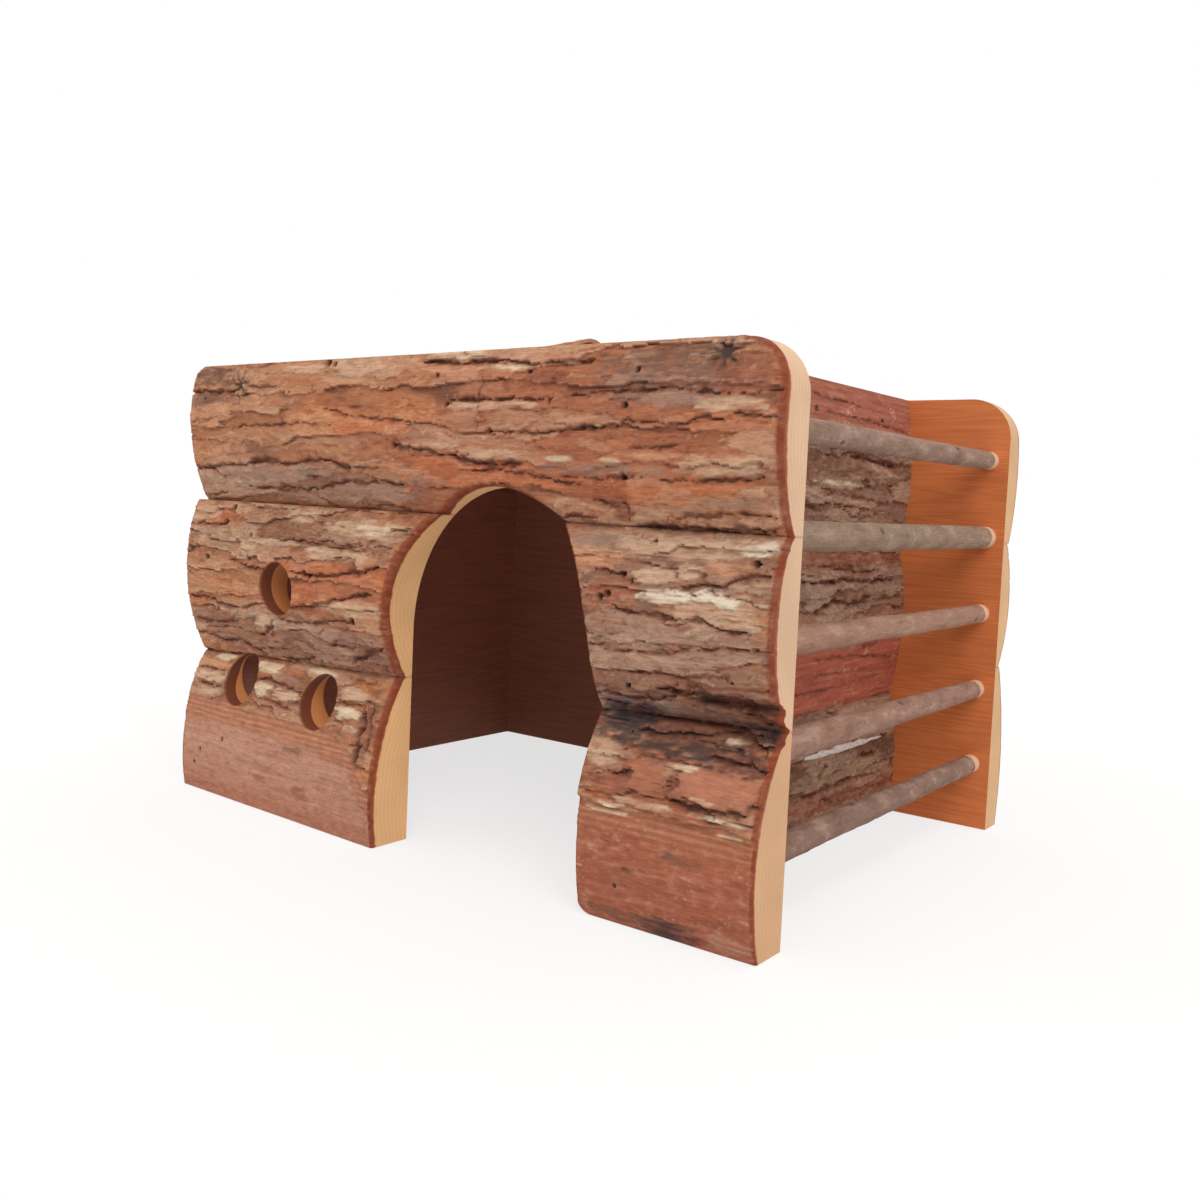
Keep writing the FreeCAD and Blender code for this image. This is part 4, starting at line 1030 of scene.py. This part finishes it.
# ------------------------ materials
class Nodes:
    """Short ways to add nodes to a tree."""

    def __init__(self, tree):
        self.tree = tree

    def feed(self, target, value):
        if isinstance(value, bpy.types.NodeSocket):
            self.tree.links.new(value, target)
        else:
            target.default_value = value

    def node(self, kind, inputs=None, **settings):
        node = self.tree.nodes.new(kind)
        for key, value in settings.items():
            setattr(node, key, value)
        for key, value in (inputs or {}).items():
            self.feed(node.inputs[key], value)
        return node

    def math(self, operation, a, b=0.0, c=0.0):
        return self.node("ShaderNodeMath", {0: a, 1: b, 2: c}, operation=operation).outputs[0]

    def mix(self, blend, factor, a, b):
        return self.node("ShaderNodeMix", {"Factor": factor, 6: a, 7: b}, data_type="RGBA",
                         blend_type=blend).outputs[2]

    def times(self, a, b):
        return self.mix("MULTIPLY", 1.0, a, b)

    def attribute(self, name, output):
        return self.node("ShaderNodeAttribute", attribute_name=name).outputs[output]

    def stretched_noise(self, vector, scale, detail=4.0, roughness=0.6, distortion=0.0):
        mapping = self.node("ShaderNodeVectorMath", {0: vector, 1: scale}, operation="MULTIPLY")
        inputs = {"Vector": mapping.outputs[0], "Scale": 1.0, "Detail": detail, "Roughness": roughness,
                  "Distortion": distortion}
        return self.node("ShaderNodeTexNoise", inputs).outputs["Fac"]

    def ramp(self, value, first, last):
        """A grey that runs between two stops, each with its place and level."""
        ramp = self.node("ShaderNodeValToRGB", {"Fac": value})
        for element, (place, level) in zip(ramp.color_ramp.elements, (first, last)):
            element.position, element.color = place, (level, level, level, 1)
        return ramp.outputs["Color"]

    def seen_directly(self):
        """1 for rays that show the backdrop itself, 0 for rays that light the object."""
        path = self.node("ShaderNodeLightPath").outputs
        seen = path["Is Camera Ray"]
        for kind in ("Is Glossy Ray", "Is Transmission Ray"):
            seen = self.math("MAXIMUM", seen, path[kind])
        return seen


class Shader(Nodes):
    """A material, its nodes and the inputs of its surface."""

    def __init__(self, name):
        self.material = bpy.data.materials.new(name)
        self.material.use_nodes = True
        super().__init__(self.material.node_tree)
        self.surface = self.tree.nodes["Principled BSDF"]

    def set(self, **values):
        for name, value in values.items():
            self.feed(self.surface.inputs[name.replace("_", " ")], value)

    def bump(self, height, strength, distance_m):
        inputs = {"Height": height, "Strength": strength, "Distance": distance_m}
        self.set(Normal=self.node("ShaderNodeBump", inputs).outputs["Normal"])


def bark_material():
    shader = Shader("bark")
    grain, tone = shader.attribute("grain", "Vector"), shader.attribute("tone", "Color")
    streaks = shader.stretched_noise(grain, (0.22, 1.5, 1.0), 6.0, 0.65, 0.6)
    grit = shader.stretched_noise(grain, (1.6, 3.0, 3.0), 5.0, 0.7)
    shade = shader.times(shader.ramp(streaks, (0.3, 0.76), (0.68, 1.18)),
                         shader.ramp(grit, (0.3, 0.86), (0.7, 1.12)))
    shader.set(Base_Color=shader.times(tone, shade), Specular_IOR_Level=0.25,
               Roughness=shader.ramp(grit, (0.3, 0.72), (0.7, 0.95)))
    shader.bump(shader.math("ADD", streaks, shader.math("MULTIPLY", grit, 0.5)), 0.6, 0.0005)
    return shader.material


def cut_material():
    """End grain: year rings that follow the bark, in smooth pale wood."""
    shader = Shader("cut_wood")
    grain, tone = shader.attribute("grain", "Vector"), shader.attribute("tone", "Color")
    under = shader.attribute("under", "Fac")
    wander = shader.stretched_noise(grain, (0.05, 0.05, 0.05), 2.0)
    phase = shader.math("ADD", shader.math("MULTIPLY", under, 3.6), shader.math("MULTIPLY", wander, 9.0))
    rings = shader.math("MULTIPLY_ADD", shader.math("SINE", phase), 0.5, 0.5)
    pores = shader.stretched_noise(grain, (2.6, 2.6, 2.6), 4.0, 0.7)
    cloud = shader.ramp(shader.stretched_noise(grain, (0.03, 0.03, 0.03), 2.0), (0.35, 0.93), (0.65, 1.08))
    shade = shader.times(shader.ramp(rings, (0.0, 1.02), (1.0, 0.94)),
                         shader.ramp(pores, (0.3, 0.9), (0.7, 1.06)))
    shader.set(Base_Color=shader.times(shader.times(tone, cloud), shade), Roughness=0.62,
               Specular_IOR_Level=0.3)
    shader.bump(pores, 0.25, 0.0002)
    return shader.material


def flat_material():
    """Sawn face along the grain: long dark lines of late wood. Within the room it is given a greyer colour:
    painted shade of the room.
    """
    shader = Shader("sawn_wood")
    grain, tone = shader.attribute("grain", "Vector"), shader.attribute("tone", "Color")
    figure = shader.stretched_noise(grain, (0.004, 0.10, 0.10), 2.0, 0.5, 0.3)
    lines = shader.math("MULTIPLY_ADD", shader.math("SINE", shader.math("MULTIPLY", figure, 95.0)), 0.5, 0.5)
    fibres = shader.stretched_noise(grain, (0.05, 2.2, 2.2), 5.0, 0.65)
    shade = shader.times(shader.ramp(lines, (0.1, 1.03), (0.95, 0.90)),
                         shader.ramp(fibres, (0.3, 0.84), (0.7, 1.12)))
    place = shader.node("ShaderNodeSeparateXYZ", {0: shader.node("ShaderNodeTexCoord").outputs["Object"]})
    middle_m, beyond_m = (ROOM_LEFT + ROOM_RIGHT) / 2 * MM, ((ROOM_RIGHT - ROOM_LEFT) / 2 + 0.5) * MM
    off_middle = shader.math("ABSOLUTE", shader.math("SUBTRACT", place.outputs["X"], middle_m))
    # Within the room the sawn wood takes a greyer colour: painted shade.
    wood = shader.mix("MIX", shader.math("GREATER_THAN", off_middle, beyond_m), (*ROOM_WOOD_IN_SHADE, 1), tone)
    shader.set(Base_Color=shader.times(wood, shade), Roughness=0.6, Specular_IOR_Level=0.3)
    shader.bump(fibres, 0.3, 0.0002)
    return shader.material


def glue_material():
    shader = Shader("dried_glue")
    grain, tone = shader.attribute("grain", "Vector"), shader.attribute("tone", "Color")
    milky = shader.stretched_noise(grain, (0.5, 0.5, 0.5))
    shader.set(Base_Color=shader.times(tone, shader.ramp(milky, (0.3, 0.78), (0.7, 1.0))), Roughness=0.35)
    shader.bump(milky, 0.3, 0.0003)
    return shader.material


def nail_material():
    shader = Shader("rusty_nail")
    place = shader.node("ShaderNodeTexCoord").outputs["Object"]
    dull = shader.stretched_noise(place, (900.0, 900.0, 900.0))
    dark, light = (0.022, 0.011, 0.007, 1), (0.075, 0.034, 0.018, 1)
    shader.set(Base_Color=shader.mix("MIX", shader.ramp(dull, (0.35, 0.0), (0.65, 1.0)), dark, light),
               Roughness=shader.ramp(dull, (0.3, 0.55), (0.7, 0.8)), Specular_IOR_Level=0.3)
    return shader.material


SLAB_MATERIALS = (bark_material(), cut_material(), flat_material())

# ------------------------ slabs
FRONT_STEP, RACK_WALL_STEP, OTHER_STEP = ((0.5, 0.6, 0.75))
FRONT_WOOD = {"front_right_bottom_slab": FOOT_WOOD}

front_pieces = []
for log in front:
    bark = front_top_bark if log.name == "front_top_slab" else front_bark
    end_tone = FRONT_WOOD.get(log.name, END_WOOD)
    front_pieces.append(dress(log, bark, front_inside, FRONT_SANDED, FRONT_STEP, end_tone))
for log in back:
    dress(log, back_bark, back_inside, BACK_SANDED, OTHER_STEP, BACK_WOOD)
for logs, bark, step in ((rack_wall, rack_bark, RACK_WALL_STEP), (plain_wall, plain_bark, OTHER_STEP),
                         (roof, roof_bark, OTHER_STEP)):
    for log in logs:
        dress(log, bark, wall_inside, [], step)


# ------------------------ small pieces on the bark
def add_sheet(name, upper, lower, tone, material):
    """A closed piece between two grids of points of the same size."""
    points = np.concatenate([upper.reshape(-1, 3), lower.reshape(-1, 3)])
    quads = grid_quads(*upper.shape[:2])
    beneath = len(points) // 2
    border = border_edges(quads)
    skirt = np.column_stack([border[:, ::-1], border + beneath])
    faces = quads.tolist() + (quads[:, ::-1] + beneath).tolist() + skirt.tolist()
    add_piece(name, "bark_slab", points * MM, faces, (material,), tone=np.tile(tone, (2, 1)), grain=points)


def make_flake():
    """A strip of bark that has sprung up at the top edge of the front."""
    start, end, root_z, tip_z, middle_y = 43.5, 63.5, 159.5, 161.6, -87.4
    half_width, thickness, least = 2.4, 1.5, 0.25
    along, deep = np.meshgrid(np.linspace(0, 1, 41), np.linspace(0, 1, 11), indexing="ij")
    x = start + along * (end - start)
    half = half_width * (1 - 0.75 * along**3) * (1 + 0.12 * noise(x / 2.5, deep, 611))
    y = middle_y + 0.5 * along + half * (2 * deep - 1)
    z = root_z + (tip_z - root_z) * np.minimum(1.0, 1.15 * along) - 0.9 * smooth(0.90, 1.0, along)
    z = np.minimum(z + 0.15 * noise(x / 3, deep * 2, 612), tip_z)
    thick = thickness * (1 - 0.35 * along) + 0.25 * noise(x / 2, deep * 3, 613)
    tone = coat(plain(PEACH, x.ravel()),
                (paint, RED_BROWN, smooth(-0.2, 0.5, noise(x / 4, deep * 4, 614)).ravel() * 0.6),
                (paint, UMBER, smooth(0.6, 1.0, along).ravel() * 0.5))
    add_sheet("bark_flake", np.stack([x, y, z], -1), np.stack([x, y, z - np.maximum(thick, least)], -1), tone,
              SLAB_MATERIALS[0])


def make_glue():
    """White glue squeezed out along the lowest slab behind the rack."""
    log, start, length, height, half_width = rack_wall[0], 3.0, 63.0, 32.0, 1.7
    along, up = np.meshgrid(np.linspace(0, 1, 90), np.linspace(-1, 1, 9), indexing="ij")
    y = start + length * along
    swell = 0.85 + 0.3 * noise(y / 9, y * 0, 621)
    half = (half_width - 0.5 * along) * np.sin(np.pi * along) ** 0.4 * swell
    z = height - 0.6 * along + 0.5 * noise(y / 9, y * 0, 622) + np.maximum(half, 0.15) * up
    bark = log.thickness(y.ravel(), z.ravel()).reshape(y.shape) + log.flat
    x = bark - 0.5 + 0.75 * np.sqrt(1 - 0.96 * up**2)
    tone = paint(plain(GLUE, y.ravel()), GREY, smooth(0.1, 0.6, noise(y / 3, up * 2, 623)).ravel() * 0.5)
    # The columns are turned round, so that the faces look out.
    add_sheet("glue_streak", np.stack([x, y, z], -1)[:, ::-1], np.stack([bark - 2.0, y, z], -1)[:, ::-1],
              tone, glue_material())


make_flake()
make_glue()


# ------------------------ rack sticks
STICK_BARE = 2.5            # turned end of a packed stick
STICK_PALE = 4.4            # how much of a stick's end shows pale wood
STICK_BARK = 0.45           # how far a bare end lies under the bark
STICK_RELIEF = 0.42         # how far the bark lies under its highest bumps
TENON_REACH = 3.6
STICK_TONES = [srgb(131, 102, 89), srgb(146, 110, 95), srgb(154, 116, 98), srgb(140, 116, 98),
               srgb(140, 112, 97)]
STICK_LIGHT = srgb(178, 150, 132)
RACK_HALF = 80              # half the way between the panels that the sticks stand in
TWIGS = 3                   # scars of twigs on each stick
TWIG_HALF = 3.2             # half length of a scar
TWIG_ZONE = 70              # how far from the middle of a stick they may be


def middle(values):
    return (values.min() + values.max()) / 2


def lathe_faces(start, rings, turns):
    """Faces round a stack of rings of points, and one over each end."""
    faces = []
    for ring in range(start, start + (rings - 1) * turns, turns):
        for k in range(turns):
            n = (k + 1) % turns
            faces.append((ring + n, ring + k, ring + turns + k, ring + turns + n))
    last = start + (rings - 1) * turns
    return faces + [tuple(range(start, start + turns)), tuple(range(last, last + turns))[::-1]]


def stick_bends(y, seed):
    """Slight natural crookedness, none at the ends."""
    hold = 0.35 * np.sin(np.pi * np.clip((y + RACK_HALF) / (2 * RACK_HALF), 0, 1))
    return hold * noise(y / 37, y * 0, seed), hold * noise(y / 31, y * 0, seed + 5)


def stick_knots(y, angle, seed):
    """Low swellings where twigs were cut off, and how dark their hearts are."""
    swell, heart = np.zeros(y.shape), np.zeros(y.shape)
    for k in range(TWIGS):
        at_y = -TWIG_ZONE + 2 * TWIG_ZONE * lattice(np.array(k), np.array(1), seed)
        at_angle = 2 * np.pi * lattice(np.array(k), np.array(2), seed)
        turn = np.angle(np.exp(1j * (angle - at_angle)))
        away = np.hypot((y - at_y) / TWIG_HALF, turn / 0.6)
        swell += np.exp(-away**2)
        heart = np.maximum(heart, smooth(0.55, 0.25, away))
    return swell, heart


def stick_noise(y, angle, turns, length, seed):
    """Noise round a stick and along it, without a seam and without a twist."""
    return 0.7 * (noise(turns * np.cos(angle) + 20, y / length, 71 + seed)
                  + noise(turns * np.sin(angle) + 40, y / length, 72 + seed))


def make_stick(number):
    node = f"rack_stick_{number}"
    y, z, x = RACK_WALL.points([node])
    centre_x, centre_z = middle(x), middle(z)
    away = np.hypot(x - centre_x, z - centre_z)
    half_room = y.max() - TENON_REACH
    radii = [away[abs(y - end * (half_room - STICK_BARE)) < SAME].max() for end in (-1, 1)]
    tenon = away[y > y.max() - SAME].max()

    turns, bark_rows = ((48, 241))
    pale_from = half_room - STICK_PALE
    end = [(pale_from, "bare"), (half_room - 0.5 * STICK_PALE, "bare"), (half_room, "bare"),
           (half_room, "tenon"), (half_room + TENON_REACH, "tenon")]
    rows = [(-v, part) for v, part in end[::-1]]
    rows += [(v, "bark") for v in np.linspace(-pale_from, pale_from, bark_rows)] + end
    angles = np.arange(turns) * 2 * np.pi / turns
    xs, ys, zs, tones = [], [], [], []
    for v, part in rows:
        yy = np.full(turns, v)
        off_x, off_z = stick_bends(yy, 80 + number)
        tone = plain(END_WOOD, yy)
        r = radii[0] + (radii[1] - radii[0]) * np.clip((v + half_room) / (2 * half_room), 0, 1)
        if part == "bark":
            wave, pit = (stick_noise(yy, angles, *size, 9 * number) for size in ((1.2, 11), (3.0, 2.6)))
            swell, heart = stick_knots(yy, angles, 60 + number)
            r = r - STICK_RELIEF + 0.16 * wave + 0.08 * pit + 0.30 * swell - 0.25 * heart
            r = np.minimum(r, max(radii) - np.hypot(off_x, off_z) - WITHIN)
            tone = coat(plain(STICK_TONES[number - 1], yy),
                        (paint, UMBER, smooth(0.1, 0.8, wave + 0.4 * pit) * 0.45),
                        (paint, STICK_LIGHT, smooth(0.0, 0.7, -wave + 0.4 * pit) * 0.45),
                        (paint, CRACK, heart * 0.7))
        elif part == "bare":
            r = r - STICK_BARK
        else:
            r = tenon
        xs.append(centre_x + off_x + r * np.cos(angles))
        zs.append(centre_z + off_z + r * np.sin(angles))
        ys.append(yy)
        tones.append(tone)
    xs, ys, zs = (np.concatenate(v) for v in (xs, ys, zs))
    parts = [part for _, part in rows]
    kinds = [int(not a == b == "bark") for a, b in zip(parts, parts[1:]) for _ in range(turns)] + [1, 1]
    piece = add_piece(f"rack_stick_{number}_bark", "rack_stick", np.column_stack([xs, ys, zs]) * MM,
                      lathe_faces(0, len(rows), turns), SLAB_MATERIALS[:2], kinds, tone=np.concatenate(tones),
                      grain=np.column_stack([ys, zs + 300 * number, xs]),
                      under=np.hypot(xs - centre_x, zs - centre_z))
    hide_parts(node)


for number in range(1, 6):
    make_stick(number)


# ------------------------ nails
NAIL_TURNS = 16
NAIL_REACH = 4.0                        # packed points nearer than this belong to one nail
NAIL_PROUD = 0.12                       # how far a head may stand over the peeled wood
NAIL_HEAD, NAIL_SHANK = 0.85, 0.65      # radii of what shows of a worn head, and of the shank
# How far under the top of the head, and the radius there.
HEAD_PROFILE = [(0, 0.3), (0.05, 0.65), (0.2, NAIL_HEAD), (0.8, NAIL_HEAD), (0.9, NAIL_SHANK)]
TIP_LENGTH, TIP_RADIUS = 1.4, 0.15


def make_front_nails(pieces, material):
    """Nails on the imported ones' lines, driven as far as the peeled wood, so that no head stands off it."""
    s, t, d = FRONT.points(["front_nails"])
    trees = [tree_of(piece.data) for piece in pieces]
    angles = np.arange(NAIL_TURNS) * 2 * np.pi / NAIL_TURNS
    left = np.ones(len(s), bool)
    points, faces = [], []
    while left.any():
        first = np.argmax(left)
        own = left & (np.hypot(s - s[first], t - t[first]) < NAIL_REACH)
        left &= ~own
        at_s, at_t, tip = middle(s[own]), middle(t[own]), d[own].min()
        wood = [FRONT.surface_at(tree, at_s, at_t, PANEL_END) for tree in trees]
        top = min(d[own].max(), max(out for out in wood if out is not None) + NAIL_PROUD)
        profile = [(top - below, radius) for below, radius in HEAD_PROFILE]
        profile += [(tip + TIP_LENGTH, NAIL_SHANK), (tip, TIP_RADIUS)]
        faces += lathe_faces(len(points) * NAIL_TURNS, len(profile), NAIL_TURNS)
        for out, radius in profile:
            points.append(FRONT.place(at_s + radius * np.cos(angles), at_t + radius * np.sin(angles),
                                      np.full(NAIL_TURNS, out)))
    piece = add_piece("front_nails_driven", "nail_steel", np.concatenate(points), faces, (material,))
    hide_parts("front_nails")


steel = nail_material()
make_front_nails(front_pieces, steel)
for node in ("back_nails", "roof_nails"):
    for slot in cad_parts[node].material_slots:
        slot.material = steel


# ------------------------ stage
FLOOR_SHOWN_WHITE = 0.72     # share of plain white in what the camera sees of the floor


def make_stage():
    """Pale floor that the camera sees almost white, with the object's shadow left in it."""
    half_m, below_m = 8.0, 0.0002
    mesh = bpy.data.meshes.new("floor")
    corners = [(-half_m, -half_m), (half_m, -half_m), (half_m, half_m), (-half_m, half_m)]
    mesh.from_pydata([(x, y, -below_m) for x, y in corners], [], [(0, 1, 2, 3)])
    floor = bpy.data.objects.new("floor", mesh)
    bpy.context.scene.collection.objects.link(floor)
    shader = Shader("floor_paint")
    shader.set(Roughness=0.9, Specular_IOR_Level=0.1, Base_Color=(0.88, 0.87, 0.86, 1))
    glow = shader.node("ShaderNodeEmission", {"Color": (1, 1, 1, 1), "Strength": 1.0})
    shown = shader.math("MULTIPLY", shader.seen_directly(), FLOOR_SHOWN_WHITE)
    mixed = shader.node("ShaderNodeMixShader", {0: shown, 1: shader.surface.outputs[0], 2: glow.outputs[0]})
    shader.feed(shader.tree.nodes["Material Output"].inputs["Surface"], mixed.outputs[0])
    mesh.materials.append(shader.material)


def make_world():
    world = bpy.data.worlds.new("studio")
    world.use_nodes = True
    world.node_tree.nodes.clear()
    nodes = Nodes(world.node_tree)
    soft = nodes.node("ShaderNodeBackground", {"Color": (1.0, 0.985, 0.97, 1), "Strength": 0.45}).outputs[0]
    white = nodes.node("ShaderNodeBackground", {"Color": (1, 1, 1, 1)}).outputs[0]
    mixed = nodes.node("ShaderNodeMixShader", {0: nodes.seen_directly(), 1: soft, 2: white})
    nodes.node("ShaderNodeOutputWorld", {"Surface": mixed.outputs[0]})
    bpy.context.scene.world = world


def soft_sun(name, towards, strength, spread, colour):
    """Far, wide and soft lamp, so that the floor is as bright far off as it is beside the object."""
    data = bpy.data.lights.new(name, "SUN")
    data.energy, data.angle, data.color = strength, math.radians(spread), colour
    light = bpy.data.objects.new(name, data)
    light.rotation_euler = (-Vector(towards)).to_track_quat("-Z", "Y").to_euler()
    bpy.context.scene.collection.objects.link(light)


def make_lights():
    soft_sun("key", (0.85, -0.75, 0.95), 1.8, 40, (1.0, 0.985, 0.96))
    soft_sun("fill", (-0.6, -0.8, 0.55), 0.6, 70, (1.0, 1.0, 1.0))
    soft_sun("top", (0.1, 0.1, 1.0), 1.0, 60, (1.0, 1.0, 1.0))


def make_camera():
    """Seen from the front right, a little below the top of the house."""
    place_m = (0.26367, -0.34775, 0.11576)
    turn, tilt, roll = 0.6446, -0.0616, -0.0446         # radians, from a level look along y
    data = bpy.data.cameras.new("camera")
    data.sensor_width, data.lens = 36.0, 34.59
    data.shift_y = -0.0225
    data.clip_start = 0.01
    camera = bpy.data.objects.new("camera", data)
    aim = (Matrix.Rotation(turn, 4, "Z") @ Matrix.Rotation(tilt, 4, "X") @ Matrix.Rotation(roll, 4, "Y")
           @ Matrix.Rotation(math.pi / 2, 4, "X"))
    camera.matrix_world = Matrix.Translation(place_m) @ aim
    bpy.context.scene.collection.objects.link(camera)
    bpy.context.scene.camera = camera


make_stage()
make_world()
make_lights()
make_camera()
bpy.context.scene.view_settings.view_transform = "Standard"
